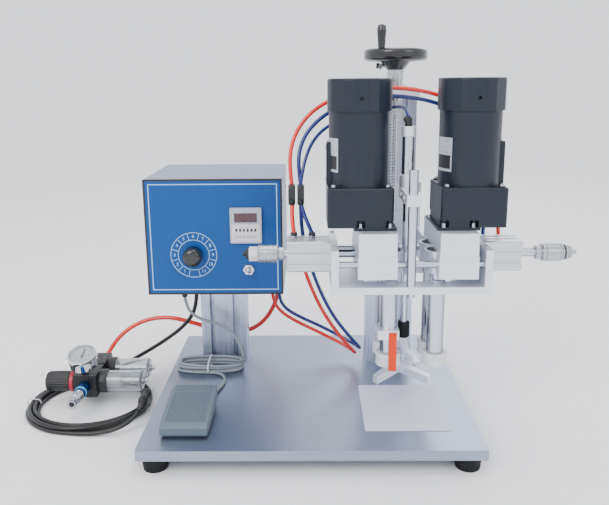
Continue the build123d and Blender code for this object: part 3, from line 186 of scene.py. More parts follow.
# phenolic, compression moulded and buffed: deep gloss black
phenolic = makeFinish("phenolicBlack", "#101114", 0.2, 5, rough=(0.16, 0.26), Coat_Weight=0.4,
                      Coat_Roughness=0.08)
# nitrile rubber, moulded: matt, with a bloom of grey
rubber = makeFinish("footRubber", "#0b0c10", 0.7, 2.5, low="#090a0d", high="#101116", rough=(0.62, 0.8),
                    bump=0.15, height=0.05, Specular_IOR_Level=0.3)
# cast acrylic sheet, frosted on top: milky, lets the steel show faintly
frosted = makeFinish("frostedAcrylic", "#d2d6e8", 0.5, 0.6, low="#cfd3e5", high="#d8dcec", rough=(0.45, 0.6),
                     bump=0.1, height=0.02, Transmission_Weight=0.08, IOR=1.49)
# cast nylon, turned: off-white with a greyed tread
nylon = makeFinish("wheelNylon", "#d4d6da", 0.4, 2.0, (1, 1, 0.2), "#c6c8cd", "#dedfe3", (0.34, 0.5), 0.08,
                   0.03, Subsurface_Weight=0.1, Subsurface_Scale=0.002)
# silicone strip, cast: saturated orange, soft sheen
silicone = makeFinish("orangeSilicone", "#d83403", 0.45, 1.5, low="#cf2f02", high="#e13c06",
                      rough=(0.4, 0.52), bump=0.08, height=0.03, Specular_IOR_Level=0.3,
                      Subsurface_Weight=0.1, Subsurface_Scale=0.002)
# ABS, moulded with a light leather texture: mid grey
pedalGrey = makeFinish("pedalPlastic", "#5c6872", 0.5, 0.9, low="#58646e", high="#626e78", rough=(0.44, 0.58),
                       bump=0.18, height=0.04, Specular_IOR_Level=0.3)
# PVC cable jacket, extruded: black with a soft gloss along it
blackPvc = makeFinish("blackJacket", "#151517", 0.36, 2.2, rough=(0.3, 0.44), bump=0.08, height=0.03)
# PVC cable jacket, extruded: cool mid grey
greyPvc = makeFinish("greyJacket", "#7b828c", 0.42, 2.2, low="#747b85", high="#858c96", rough=(0.36, 0.48),
                     bump=0.06, height=0.03)
# polyurethane tube, extruded: bright orange-red, glossy and a little see-through
red = makeFinish("redHose", "#dc1d0c", 0.24, 3, low="#d41809", high="#e32814", rough=(0.18, 0.28),
                 Subsurface_Weight=0.15, Subsurface_Scale=0.002, Coat_Weight=0.25, Coat_Roughness=0.12)
# polyurethane tube, extruded: deep navy blue, glossy
navy = makeFinish("blueHose", "#0c1f6c", 0.24, 3, low="#0a1b64", high="#102578", rough=(0.18, 0.28),
                  Subsurface_Weight=0.1, Subsurface_Scale=0.002, Coat_Weight=0.25, Coat_Roughness=0.12)
# polycarbonate, moulded clear: thin bright edges and a slight smoke tint
clear = makeFinish("clearBowl", "#dfe5ea", 0.06, 8, rough=(0.04, 0.1), Transmission_Weight=0.92, IOR=1.585)
# mineral glass over the dial
lens = makeFinish("gaugeLens", "#f4f8fa", 0.03, 10, rough=(0.02, 0.05), Transmission_Weight=0.97, IOR=1.5)
# white enamel dial plate
dialPaint = makeFinish("dialWhite", "#eceef0", 0.5, 3, low="#e6e8eb", high="#f1f2f4")
# black screen ink on the dial and keys
blackInk = makeFinish("printedBlack", "#1c1d20", 0.5, 1, rough=(0.45, 0.58))
# ABS timer bezel, moulded: cool grey
bezelGrey = makeFinish("timerGrey", "#a9b0bd", 0.42, 0.9, low="#a2a9b7", high="#b1b8c4", rough=(0.38, 0.5),
                       bump=0.1, height=0.02)
# membrane key sheet, printed: warm near-white
keySheet = makeFinish("timerPale", "#d6cfd8", 0.46, 1.2, low="#cfc8d2", high="#ddd7de", rough=(0.4, 0.52))
# smoked red acrylic window: almost black, deep red where light gets in
redWindow = makeFinish("displayRed", "#3a0f1e", 0.12, 4, low="#340c1a", high="#431425", Coat_Weight=0.5,
                       Coat_Roughness=0.05)
# anodised aluminium, dyed deep blue
blueMetal = makeFinish("blueFitting", "#12336b", 0.25, 0.8, (1, 0.1, 1), "#0f2c60", "#17407f", (0.2, 0.32),
                       Metallic=0.85)
# moulded release ring, bright blue
blueBand = makeFinish("paleBlueBand", "#4fa6dd", 0.35, 1.2, low="#469cd4", high="#5ab0e5", rough=(0.3, 0.42))
# moulded acetal locking ring, crimson
crimson = makeFinish("lockRing", "#b5173b", 0.4, 1.2, low="#aa1436", high="#c01c42", rough=(0.34, 0.46))
# natural nylon tie: pale, slightly clear
tieNylon = makeFinish("cableTie", "#cfd3d8", 0.35, 1, rough=(0.3, 0.42), Transmission_Weight=0.15, IOR=1.53)
# brushed foil label, blank: light grey
foil = makeFinish("labelFoil", "#b4bac3", 0.4, 0.8, (1, 0.05, 1), "#a9b0ba", "#bfc5cd", (0.34, 0.48),
                  Metallic=0.4)
# studio floor: matt, almost white
floorPaint = makeFinish("paleFloor", "#f2f3f5", 0.85, 30, low="#f0f1f3", high="#f5f6f8", rough=(0.8, 0.9))
print("materials made:", len(bpy.data.materials))


def scaled(points):
    return [tuple(c * mm for c in p) for p in points]


def routeCurve(name, points, diameter):
    # one open NURBS spline through the air, with the route's points as its control points
    data = bpy.data.curves.new(name, "CURVE")
    data.dimensions = "3D"
    data.resolution_u = 6
    spline = data.splines.new("NURBS")
    spline.points.add(len(points) - 1)
    for point, place in zip(spline.points, points):
        point.co = (*place, 1)
    spline.order_u = 3
    spline.use_endpoint_u = True
    data.bevel_depth = diameter / 2
    data.bevel_resolution = 5
    data.use_fill_caps = True
    curve = bpy.data.objects.new(name, data)
    scene.collection.objects.link(curve)
    return curve


def routeLine(curve):
    # the points of the spline's own line, read with no bevel
    data = curve.data
    depth, caps = data.bevel_depth, data.use_fill_caps
    data.bevel_depth, data.use_fill_caps = 0, False
    bpy.context.view_layer.update()
    line = bpy.data.meshes.new_from_object(curve)
    data.bevel_depth, data.use_fill_caps = depth, caps
    points = [v.co.copy() for v in line.vertices]
    bpy.data.meshes.remove(line)
    return points


def lineLength(points):
    return sum((b - a).length for a, b in zip(points, points[1:]))


def makeCord(name, points, diameter, material, body,
             replaces=()):
    curve = routeCurve(name, points, diameter)
    curve.data.materials.append(material)
    length = lineLength(routeLine(curve))
    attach(curve, body)
    if replaces:
        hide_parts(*replaces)
    print(f"cord {name}: {length:.3f} m")


def makeBentCord(name, points, diameter, material, start, end, slot, withPieces=()):
    # a hose from the tray up to the moving head, built as one fixed mesh tube
    curve = routeCurve(name + "Route", points, diameter)
    line = routeLine(curve)
    mesh = bpy.data.meshes.new_from_object(curve)
    mesh.name = name
    bpy.data.objects.remove(curve)
    tube = bpy.data.objects.new(name, mesh)
    scene.collection.objects.link(tube)
    mesh.materials.clear()
    mesh.materials.append(material)
    mesh.polygons.foreach_set("use_smooth", [True] * len(mesh.polygons))
    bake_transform(tube)
    print(f"cord {name}: {lineLength(line):.3f} m")
    return tube


# power cord: gland, down behind the tray, round a coil on the bench, and back up to its plug
powerLoop = {"centre": (-500, 84), "radii": (95, 87), "turns": 5, "points": 14, "start": 118,
             "layers": [(3.7, 9.6), (-3.7, 9.8), (-7.3, 3.5), (0, 3.5), (7.3, 3.5)], "wobble": 1.1,
             "openEnd": 7}


def powerLoopPoints():
    out = []
    steps = powerLoop["turns"] * powerLoop["points"] - powerLoop["openEnd"]
    for i in range(steps):
        turn = i / powerLoop["points"]
        angle = math.radians(powerLoop["start"]) + 2 * math.pi * turn
        here, after = int(turn), min(int(turn) + 1, powerLoop["turns"] - 1)
        ease = max(0.0, (turn - here - 0.6) / 0.4)
        offset, high = (powerLoop["layers"][here][k] * (1 - ease) + powerLoop["layers"][after][k] * ease
                        for k in (0, 1))
        loose = powerLoop["wobble"] * math.sin(2 * angle + 1.9 * here)
        out.append((powerLoop["centre"][0] + (powerLoop["radii"][0] + offset + loose) * math.cos(angle),
                    powerLoop["centre"][1] + (powerLoop["radii"][1] + offset + loose) * math.sin(angle),
                    floorLevel + high))
    return out


powerRoute = scaled([
    (-333, 165, 136), (-335, 167, 108), (-348, 174, 80), (-372, 184, 54), (-402, 194, 30), (-434, 200, 8),
    (-466, 200, -10), (-494, 190, -23), (-522, 176, -27.5),
] + powerLoopPoints() + [
    (-468, -11, -33.5), (-440, -10, -29.5), (-419, -4, -22), (-407, 8, -14.5), (-404, 22, -11.7), (-404, 34,
                                                                                                   -11.7),
])

# pedal cable: gland, over the hank behind the pedal, round it, then forward into the pedal's spout
hank = {"centre": (-310, 146), "straight": 33, "points": 14, "trayTop": -1,
        "turns": [(19.5, 14.2), (21.2, 9.8), (16.4, 8.6), (17.2, 3.4), (21.8, 2.6)]}


def hankPoints():
    out = []
    for number, (radius, high) in enumerate(hank["turns"]):
        for step in range(hank["points"]):
            angle = 2 * math.pi * (step / hank["points"]) + 0.25
            nextRadius, nextHigh = hank["turns"][min(number + 1, len(hank["turns"]) - 1)]
            ease = max(0.0, (step / hank["points"] - 0.6) / 0.4)
            r = radius * (1 - ease) + nextRadius * ease
            z = high * (1 - ease) + nextHigh * ease
            along = max(-1.0, min(1.0, 1.5 * math.cos(angle)))
            out.append((hank["centre"][0] + (hank["straight"] + 1.3 * (number % 3)) * along + r * math.cos(angle),
                        hank["centre"][1] + r * math.sin(angle), hank["trayTop"] + z))
    return out[:-3]


pedalRoute = scaled([
    (-347, 130, 136), (-345, 131, 116), (-331, 134, 98), (-308, 138, 88), (-284, 141, 80), (-265, 138, 62),
    (-255, 132, 42), (-252, 131, 28), (-252, 136, 17.5), (-255, 143, 13.6),
] + hankPoints() + [
    (-296, 122, 2.2), (-285, 113, 2), (-280, 98, 1.8), (-281, 80, 1.8), (-287, 60, 2.5), (-292, 44, 5),
    (-292, 32, 5),
])

airRoute = scaled([
    (-508, 184, -0.7), (-506, 206, 6), (-494, 226, 24), (-470, 240, 42), (-436, 246, 54), (-398, 246, 56),
    (-360, 243, 47), (-320, 240, 35), (-282, 238, 28), (-248, 235, 34), (-220, 230, 56), (-202, 225, 88),
    (-195, 223, 114), (-194, 222, 136),
])
redRiser = scaled([
    (-204, 178, 136), (-203, 180, 112), (-190, 186, 88), (-164, 192, 68), (-132, 197, 50), (-100, 197, 33),
    (-72, 188, 21), (-58, 166, 18), (-62, 142, 30), (-80, 128, 56), (-102, 120, 88), (-122, 110, 126),
    (-138, 96, 168), (-150, 77, 210), (-159, 56, 250), (-163, 38, 284), (-163, 28, 312),
])
blueRiser = scaled([
    (-192, 178, 136), (-192, 180, 114), (-180, 187, 92), (-154, 194, 74), (-122, 199, 57), (-90, 198, 40),
    (-63, 187, 29), (-50, 165, 27), (-54, 141, 40), (-72, 127, 66), (-94, 118, 97), (-113, 108, 134),
    (-128, 94, 174), (-139, 76, 214), (-147, 56, 252), (-150, 38, 286), (-150, 28, 312),
])
redLong = scaled([
    (-163, 33, 340), (-166, 37, 366), (-164, 44, 394), (-153, 51, 421), (-132, 56, 445), (-102, 59, 462),
    (-68, 60, 472), (-34, 60, 477), (0, 59, 476), (34, 58, 471), (68, 58, 460), (100, 59, 443), (126, 60,
                                                                                                 418),
    (142, 61, 388), (149, 62, 354), (150, 63, 320), (149, 63, 290), (148, 58, 264), (147, 46, 248), (146, 33,
                                                                                                     243),
])
blueLong = scaled([
    (-150, 33, 340), (-153, 37, 364), (-152, 44, 388), (-142, 51, 412), (-122, 57, 433), (-96, 60, 449),
    (-66, 62, 459), (-33, 62, 465), (0, 61, 464), (33, 60, 459), (64, 60, 449), (92, 61, 432), (114, 62, 408),
    (127, 63, 378), (131, 63, 345), (130, 63, 312), (128, 62, 284), (125, 57, 262), (123, 46, 248), (122, 33,
                                                                                                     243),
])
blueShort = scaled([
    (-150, 23, 340), (-147, 26, 361), (-141, 35, 383), (-131, 46, 403), (-114, 53, 420), (-88, 56, 433),
    (-60, 57, 441), (-33, 53, 447), (-14, 40, 450), (-5, 23, 450), (-1, 9, 446), (0, 0, 437),
])
redDrop = scaled([(-162, 19, 312), (-163, 15, 299), (-162, 9, 286), (-160, 6, 273)])
blueDrop = scaled([(-149, 19, 312), (-146, 15, 300), (-140, 9, 287), (-134, 6, 273)])


def newPiece(name, bm, materials, body, bevel=0.0, replaces=(), smoothBelow=35):
    mesh = bpy.data.meshes.new(name)
    bmesh.ops.recalc_face_normals(bm, faces=bm.faces)
    bm.to_mesh(mesh)
    bm.free()
    for material in materials if isinstance(materials, (list, tuple)) else [materials]:
        mesh.materials.append(material)
    piece = bpy.data.objects.new(name, mesh)
    scene.collection.objects.link(piece)
    mesh.polygons.foreach_set("use_smooth", [True] * len(mesh.polygons))
    mesh.set_sharp_from_angle(angle=math.radians(smoothBelow))
    if bevel:
        roundEdges(piece, bevel, smoothBelow)
    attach(piece, body)
    if replaces:
        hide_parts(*replaces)
    return piece


def roundEdges(piece, width, angle):
    rounding = piece.modifiers.new("edgeBreak", "BEVEL")
    rounding.width = width * mm
    rounding.segments = 2
    rounding.limit_method = "ANGLE"
    rounding.angle_limit = math.radians(angle)


def bridgeRings(bm, rings, ends="open"):
    # quads between neighbouring rings; the ends stay open, are capped, or are joined into a loop
    for a, b in zip(rings, rings[1:] + (rings[:1] if ends == "joined" else [])):
        for i in range(len(a)):
            j = (i + 1) % len(a)
            bm.faces.new((a[i], a[j], b[j], b[i]))
    if ends == "capped":
        bm.faces.new(list(reversed(rings[0])))
        bm.faces.new(rings[-1])


def circlePoints(radius, count):
    return [(radius * math.cos(2 * math.pi * i / count), radius * math.sin(2 * math.pi * i / count))
            for i in range(count)]


def setFinish(bm, before, index):
    for face in bm.faces:
        if face not in before:
            face.material_index = index


def addBlock(bm, low, high, index=0, turn=None):
    # a rectangular block between two corners in millimetres
    low, high = Vector(low) * mm, Vector(high) * mm
    before = set(bm.faces)
    size, centre = high - low, (low + high) / 2
    place = Matrix.Translation(centre) @ (turn or Matrix.Identity(4)) @ Matrix.Diagonal((*size, 1))
    bmesh.ops.create_cube(bm, size=1, matrix=place)
    setFinish(bm, before, index)


def alongAxis(place, axis):
    # a frame at place (mm) whose Z is axis
    axis = Vector(axis).normalized()
    side = Vector((0, 1, 0)) if abs(axis.y) < 0.9 else Vector((1, 0, 0))
    across = side.cross(axis).normalized()
    return Matrix.Translation(Vector(place) * mm) @ Matrix((across, axis.cross(across),
                                                            axis)).transposed().to_4x4()


def addTurning(bm, stations, place, axis=(0, 0, 1), index=0, sides=48, shape=None):
    # a turned piece from (radius, along) stations in millimetres; shape(angle, radius) can flute it
    frameHere = alongAxis(place, axis)
    rings = []
    before = set(bm.faces)
    for radius, along in stations:
        ring = []
        for i in range(sides):
            angle = 2 * math.pi * i / sides
            r = shape(angle, radius, along) if shape else radius
            spot = Vector((r * math.cos(angle), r * math.sin(angle), along)) * mm
            ring.append(bm.verts.new(frameHere @ spot))
        rings.append(ring)
    bridgeRings(bm, rings, "capped")
    setFinish(bm, before, index)


def addPrism(bm, outline, place, axis, depth, index=0):
    # an outline of (x, y) millimetres on the plane across axis, pushed depth along it
    frameHere = alongAxis(place, axis)
    before = set(bm.faces)
    low = [bm.verts.new(frameHere @ (Vector((x, y, 0)) * mm)) for x, y in outline]
    high = [bm.verts.new(frameHere @ (Vector((x, y, depth)) * mm)) for x, y in outline]
    bridgeRings(bm, [low, high], "capped")
    setFinish(bm, before, index)


def hexagon(acrossFlats):
    reach = acrossFlats / math.sqrt(3)
    return [(reach * math.cos(math.radians(60 * i + 30)), reach * math.sin(math.radians(60 * i + 30)))
            for i in range(6)]


def addSocketScrew(bm, place, axis, head=3.0, high=3.0, index=0, socketShadeIndex=1):
    # cap screw: a turned head with its broken edge, and a dark hexagon painted on top as the shade inside its
    # socket
    addTurning(bm, [(head, 0), (head, high - 0.4), (head - 0.4, high), (head * 0.55, high)], place, axis,
               index, 24)
    top = Vector(place) + Vector(axis).normalized() * (high - 0.05)
    addPrism(bm, hexagon(head * 0.9), top, axis, 0.12, socketShadeIndex)


nodeFinish = {
    "base_tray": (steel, 0.9), "rubber_feet": (rubber, 1.2), "bottle_pad": (frosted, 0.3),
    "left_column": (profile, 0.3), "centre_column": (profile, 0.3), "box_shell": (cabinet, 0.5),
    "front_panel": (film, 0.3), "timer_body": (bezelGrey, 0.5), "box_electrics": (moulding, 0.4),
    "dial_knob": (phenolic, 0.3), "toggle_lever": (chrome, 0), "top_bearing_plate": (blasted, 0.6),
    "handwheel": (phenolic, 1.0), "handwheel_grip": (phenolic, 0.6), "head_slide": (blasted, 0.6),
    "head_bracket": (blasted, 0.7), "guide_rods": (ground, 0.5), "air_cylinders": (cylinderSkin, 0.4),
    "presser_post": (ground, 0.6), "presser_arm": (blasted, 0.6), "presser_rod": (ground, 0),
    "presser_plug": (rubber, 0.3), "strip_clamp": (blasted, 0.6), "stop_strip": (silicone, 0.4),
    "vee_locator": (blasted, 0.6), "locator_bar": (blasted, 0.5), "pedal_base": (pedalGrey, 0.5),
    "air_unit_body": (moulding, 1.0), "air_unit_bowls": (clear, 0), "gauge_body": (chrome, 0.5),
    "gauge_needle": (blackInk, 0),
}
for side in ("left", "right"):
    nodeFinish.update({
        side + "_lower_block": (blasted, 0.6), side + "_upper_block": (blasted, 0.6),
        side + "_gearbox": (enamel, 0.8), side + "_motor": (enamel, 0.8), side + "_drive_gear": (gearMetal,
                                                                                                 0.1),
        side + "_spindle_sleeves": (ground, 0.5),
    })


def finishNode(name, material, bevel):
    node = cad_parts[name]
    node.data.materials.clear()
    node.data.materials.append(material)
    if bevel:
        roundEdges(node, bevel, 40)


for nodeName, (nodeMaterial, nodeBevel) in nodeFinish.items():
    finishNode(nodeName, nodeMaterial, nodeBevel)
print("CAD nodes finished:", len(nodeFinish))


splitter = {"red": (-163, 28), "blue": (-150, 28), "z": (312, 340)}


def makeSplitter(colour):
    # moulded Y piece: flattened body with a release ring at each port
    x, y = splitter[colour]
    low, high = splitter["z"]
    bm = bmesh.new()
    addBlock(bm, (x - 5, y - 9.5, low + 4), (x + 5, y + 9.5, high - 4))
    for dy, z, up in ((5, high - 4, 1), (-5, high - 4, 1), (0, low + 4, -1), (-9, low + 4, -1)):
        addTurning(bm, [(5, -3), (5, 3.4), (4.6, 4), (3.4, 4)], (x, y + dy * 0.9, z), (0, 0, up), 0, 24)
    return newPiece(colour + "Splitter", bm, [moulding], "head", 0.8)


def makeFitting(name, place, axis, reach=9):
    # push-in fitting: threaded stub, hexagon, and the black release ring that holds the hose
    bm = bmesh.new()
    addTurning(bm, [(4.4, -2), (4.4, 2)], place, axis, 1, 24)
    addPrism(bm, hexagon(10.5), Vector(place) + Vector(axis) * 1.5, axis, 3, 1)
    addTurning(bm, [(4.9, 4), (4.9, reach - 1), (4.4, reach), (3.3, reach)], place, axis, 0, 24)
    return newPiece(name, bm, [moulding, turned], "head", 0.2)


redSplitter, blueSplitter = makeSplitter("red"), makeSplitter("blue")
rightRedFit = makeFitting("rightRedFitting", (146, 25, 243.5), (0, 1, 0))
rightBlueFit = makeFitting("rightBlueFitting", (122, 25, 243.5), (0, 1, 0))
leftRedFit = makeFitting("leftRedFitting", (-160, 6, 265.5), (0, 0, 1))
leftBlueFit = makeFitting("leftBlueFitting", (-134, 6, 265.5), (0, 0, 1))


plugSet = {"x": -404, "z": -11.7, "grip": 35, "pins": (68, 86), "pinReach": 6, "relief": 16, "ribs": 5}


def makePlug():
    # moulded mains plug: waisted grip, face plate, two flat pins, ribbed strain relief
    bm = bmesh.new()
    x, z = plugSet["x"], plugSet["z"]
    addTurning(bm, [(7, 0), (10.5, 2), (12.5, 9), (11, 17), (11.5, 24), (12.8, 30), (12.8, 34), (9, 34)],
               (x, plugSet["grip"], z), (0, 1, 0), 0, 36, lambda a, r,
               s: r * (1 - 0.36 * abs(math.sin(a)) ** 2))
    for px in (x - plugSet["pinReach"], x + plugSet["pinReach"]):
        addBlock(bm, (px - 1, plugSet["pins"][0], z - 3.3), (px + 1, plugSet["pins"][1], z + 3.2), 1)
    relief = [(3.9, 0)]
    for i in range(plugSet["ribs"]):
        relief += [(4.2 + 0.5 * i, 1 + 3.4 * i), (4.2 + 0.5 * i, 3 + 3.4 * i), (3.7 + 0.4 * i, 3.4 + 3.4 * i)]
    relief += [(6.5, 19), (6.5, 20)]
    addTurning(bm, relief, (x, plugSet["relief"], z), (0, 1, 0), 0, 24)
    return newPiece("powerPlug", bm, [blackPvc, turned], "base", 0.3, ["power_plug"])


plug = makePlug()
makeCord("powerCord", powerRoute, 7 * mm, blackPvc, "base",
         ["power_cord", "power_cord_coil"])
makeCord("pedalCable", pedalRoute, 5 * mm, greyPvc, "base",
         ["pedal_cable", "pedal_cable_coil"])
makeCord("airHose", airRoute, 8 * mm, red, "base", ["air_hose"])
riserBend = ((0, 0, 0.03), (0, 0, 0.3))
redRiserTube = makeBentCord("redRiser", redRiser, 6 * mm, red, *riserBend, "red_hose", [redSplitter])
makeBentCord("blueRiser", blueRiser, 6 * mm, navy, *riserBend, "red_hose", [blueSplitter])
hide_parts("head_hoses")
makeCord("redLongHose", redLong, 6 * mm, red, "head")
makeCord("blueLongHose", blueLong, 6 * mm, navy, "head")
makeCord("blueShortHose", blueShort, 5 * mm, navy, "head")
makeCord("redDropHose", redDrop, 6 * mm, red, "head")
makeCord("blueDropHose", blueDrop, 6 * mm, navy, "head")


def makeTie(name, place, axis, reach):
    # a thin nylon strap pulled round a bundle, with its square head
    bm = bmesh.new()
    halfHigh, halfWide, strap, wide = reach
    frameHere = alongAxis(place, axis)
    # a rounded rectangle, since the strap is pulled flat over two rows of cable
    round4 = [tuple(math.copysign(abs(c) ** 0.6, c) for c in (math.cos(a), math.sin(a)))
              for a in (2 * math.pi * i / 40 for i in range(40))]
    outer = [(x * (halfHigh + strap), y * (halfWide + strap)) for x, y in round4]
    inner = [(x * halfHigh, y * halfWide) for x, y in round4]
    rings = [[bm.verts.new(frameHere @ (Vector((x, y, z)) * mm)) for x, y in outline]
             for outline, z in ((outer, -wide / 2), (outer, wide / 2), (inner, wide / 2), (inner, -wide / 2))]
    bridgeRings(bm, rings, "joined")
    return newPiece(name, bm, [tieNylon], "base")


makeTie("hankTie", (-312, 146, 8.4), (1, 0, 0), (8.4, 24.8, 0.9, 2.6))
makeTie("powerTie", (-594.6, 80, -30.7), (0, 1, 0), (6.6, 10.6, 0.7, 2.6))


panel = {"low": (-400.2, 148.3), "high": (-180.8, 337.7), "face": 104, "border": 7.5, "line": 1.5,
         "dial": (-324, 214.7), "ring": (24.5, 36.5), "numbers": 11, "ink": 0.12}


def makeFrameStrip(bm, low, high, wide, front, thick):
    # a rectangular band on a plane facing the operator
    (x0, z0), (x1, z1) = low, high
    addBlock(bm, (x0, front - thick, z1 - wide), (x1, front, z1))
    addBlock(bm, (x0, front - thick, z0), (x1, front, z0 + wide))
    addBlock(bm, (x0, front - thick, z0 + wide), (x0 + wide, front, z1 - wide))
    addBlock(bm, (x1 - wide, front - thick, z0 + wide), (x1, front, z1 - wide))


def makePanelPrint():
    bm = bmesh.new()
    inset = panel["border"]
    makeFrameStrip(bm, (panel["low"][0] + inset, panel["low"][1] + inset),
                   (panel["high"][0] - inset, panel["high"][1] - inset), panel["line"], panel["face"],
                   panel["ink"])
    x, z = panel["dial"]
    for radius in panel["ring"]:
        for i in range(96):
            a, b = (2 * math.pi * k / 96 for k in (i, i + 1))
            corners = [(radius * math.cos(a), radius * math.sin(a)),
                       (radius * math.cos(b), radius * math.sin(b)),
                       ((radius + 0.9) * math.cos(b), (radius + 0.9) * math.sin(b)),
                       ((radius + 0.9) * math.cos(a), (radius + 0.9) * math.sin(a))]
            bm.faces.new([bm.verts.new(Vector((x + px, panel["face"] - panel["ink"], z + pz)) * mm) for px,
                          pz in corners])
    inner, outer = panel["ring"]
    for i in range(12):
        angle = math.radians(30 * i + 15)
        turn = Matrix.Rotation(-angle, 4, "Y")
        middle = (inner + outer) / 2 + 0.4
        cx, cz = x + middle * math.cos(angle), z + middle * math.sin(angle)
        half = (outer - inner) / 2
        addBlock(bm, (cx - half, panel["face"] - panel["ink"], cz - 0.4), (cx + half, panel["face"],
                                                                           cz + 0.4), 0, turn)
    bmesh.ops.remove_doubles(bm, verts=bm.verts, dist=1e-6)
    newPiece("panelPrint", bm, ink, "base")


def makeNumber(name, text, size, thick, paint, place):
    # a generic printed number, centred on its place
    data = bpy.data.curves.new(name, "FONT")
    data.body = text
    data.size = size * mm
    data.extrude = thick * mm
    data.align_x = "CENTER"
    data.align_y = "CENTER"
    data.materials.append(paint)
    piece = bpy.data.objects.new(name, data)
    scene.collection.objects.link(piece)
    piece.matrix_world = place
    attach(piece, "base")


def makeGasket():
    # dark sealing strip between the folded shell and the panel, with a screw in each corner
    bm = bmesh.new()
    makeFrameStrip(bm, (-400.4, 148.1), (-180.6, 337.9), 3.0, panel["face"], 0.35)
    newPiece("panelGasket", bm, moulding, "base", 0.1)
    bm = bmesh.new()
    for x in (-180.5, -400.5):
        for y in (128, 262):
            axis = (1 if x > -300 else -1, 0, 0)
            addTurning(bm, [(4.2, -0.5), (4.2, 0.3), (3.4, 1.2), (1.6, 1.5)], (x, y, 300), axis, 0, 24)
            # a dark bar painted across each head as the shade in its slot
            addPrism(bm, [(-2.4, -0.5), (2.4, -0.5), (2.4, 0.5), (-2.4, 0.5)],
                     Vector((x, y, 300)) + Vector(axis) * 1.44, axis, 0.1, 1)
    newPiece("cabinetScrews", bm, [turned, moulding], "base")


timer = {"x": -238.5, "z": 263.5, "proud": 6, "keys": 6}


def makeTimer():
    x, z = timer["x"], timer["z"]
    front = panel["face"] - timer["proud"]
    bm = bmesh.new()
    addBlock(bm, (x - 18, front + 0.6, z + 5.4), (x + 18, front + 2, z + 20.6), 0)
    newPiece("timerWindow", bm, redWindow, "base", 0.4)
    bm = bmesh.new()
    addBlock(bm, (x - 22.5, front - 0.35, z - 25.5), (x + 22.5, front, z + 2.4), 0)
    for i in range(timer["keys"]):
        kx = x - 15 + 6 * i
        addBlock(bm, (kx - 1.5, front - 0.62, z - 9.4), (kx + 1.5, front - 0.3, z - 4.6), 1)
        addBlock(bm, (kx - 2.2, front - 0.55, z - 20), (kx + 2.2, front - 0.3, z - 15.6), 2)
    newPiece("timerKeys", bm, [keySheet, blackInk, bezelGrey], "base", 0.2)
    bm = bmesh.new()
    makeFrameStrip(bm, (x - 19.5, z + 4), (x + 19.5, z + 22), 1.5, front, 0.5)
    newPiece("timerWindowRim", bm, bezelGrey, "base", 0.3)


toggle = {"x": -236, "z": 190, "acrossFlats": 16, "nut": 3.2}


def makeToggleNut():
    # plated hexagon nut and threaded bush that hold the switch in the panel
    place = (toggle["x"], panel["face"], toggle["z"])
    bm = bmesh.new()
    addPrism(bm, hexagon(toggle["acrossFlats"]), place, (0, -1, 0), toggle["nut"])
    addTurning(bm, [(6.9, 3.2), (6.9, 3.9), (6.1, 4), (6.1, 8.1), (5.9, 8.3), (4.8, 8.3), (4.8, 5)],
               place, (0, -1, 0), 0, 36)
    newPiece("toggleNut", bm, chrome, "base", 0.3)


makePanelPrint()
makeToggleNut()
for i in range(panel["numbers"]):
    angle = math.radians(240 - 30 * i)
    spot = Vector((panel["dial"][0] + 31 * math.cos(angle), panel["face"] - 0.1,
                   panel["dial"][1] + 31 * math.sin(angle)))
    makeNumber(f"dialNumber{i + 1}", str(i + 1), 7.6, 0.06, ink,
               Matrix.Translation(spot * mm) @ Matrix.Rotation(math.radians(90), 4, "X"))
makeGasket()
makeTimer()
print("control box dressed")


screwSet = {"place": (0, 153), "pitch": 5, "radius": 7, "core": 5.9, "z": (216, 462)}


def makeLeadScrew():
    # trapezoid thread, one turn for each pitch, with the plain journal and collars above it
    bm = bmesh.new()
    x, y = screwSet["place"]
    low, high = screwSet["z"]
    sides, perTurn = 24, 8
    rows = int((high - low) / screwSet["pitch"] * perTurn)
    rings = []
    for row in range(rows + 1):
        z = low + (high - low) * row / rows
        ring = []
        for i in range(sides):
            phase = ((z - low) / screwSet["pitch"] - i / sides) % 1
            lift = min(1.0, max(0.0, 2.6 * abs(2 * phase - 1) - 0.8))
            r = screwSet["core"] + (screwSet["radius"] - screwSet["core"]) * lift
            angle = 2 * math.pi * i / sides
            ring.append(bm.verts.new(Vector((x + r * math.cos(angle), y + r * math.sin(angle), z)) * mm))
        rings.append(ring)
    bridgeRings(bm, rings, "capped")
    addTurning(bm, [(11, 453.7), (12, 454.7), (12, 460.7), (11, 461.7)], (x, y, 0), (0, 0, 1), 0, 40)
    addTurning(bm, [(7, 461), (7, 474.3), (12, 474.3), (13, 475.3), (13, 484), (11.6, 484.6), (11.6, 487),
                    (13, 487.6), (13, 503.2), (12, 504), (7, 504), (7, 528), (6, 529)], (x, y, 0), (0, 0, 1),
                    0, 40)
    newPiece("leadScrew", bm, turned, "handwheel", 0, ["lead_screw"], 30)


cylinder = {"y": 3, "z": 243.5, "screwReach": 17, "adjuster": 60}  # adjuster: length from lock ring to tip


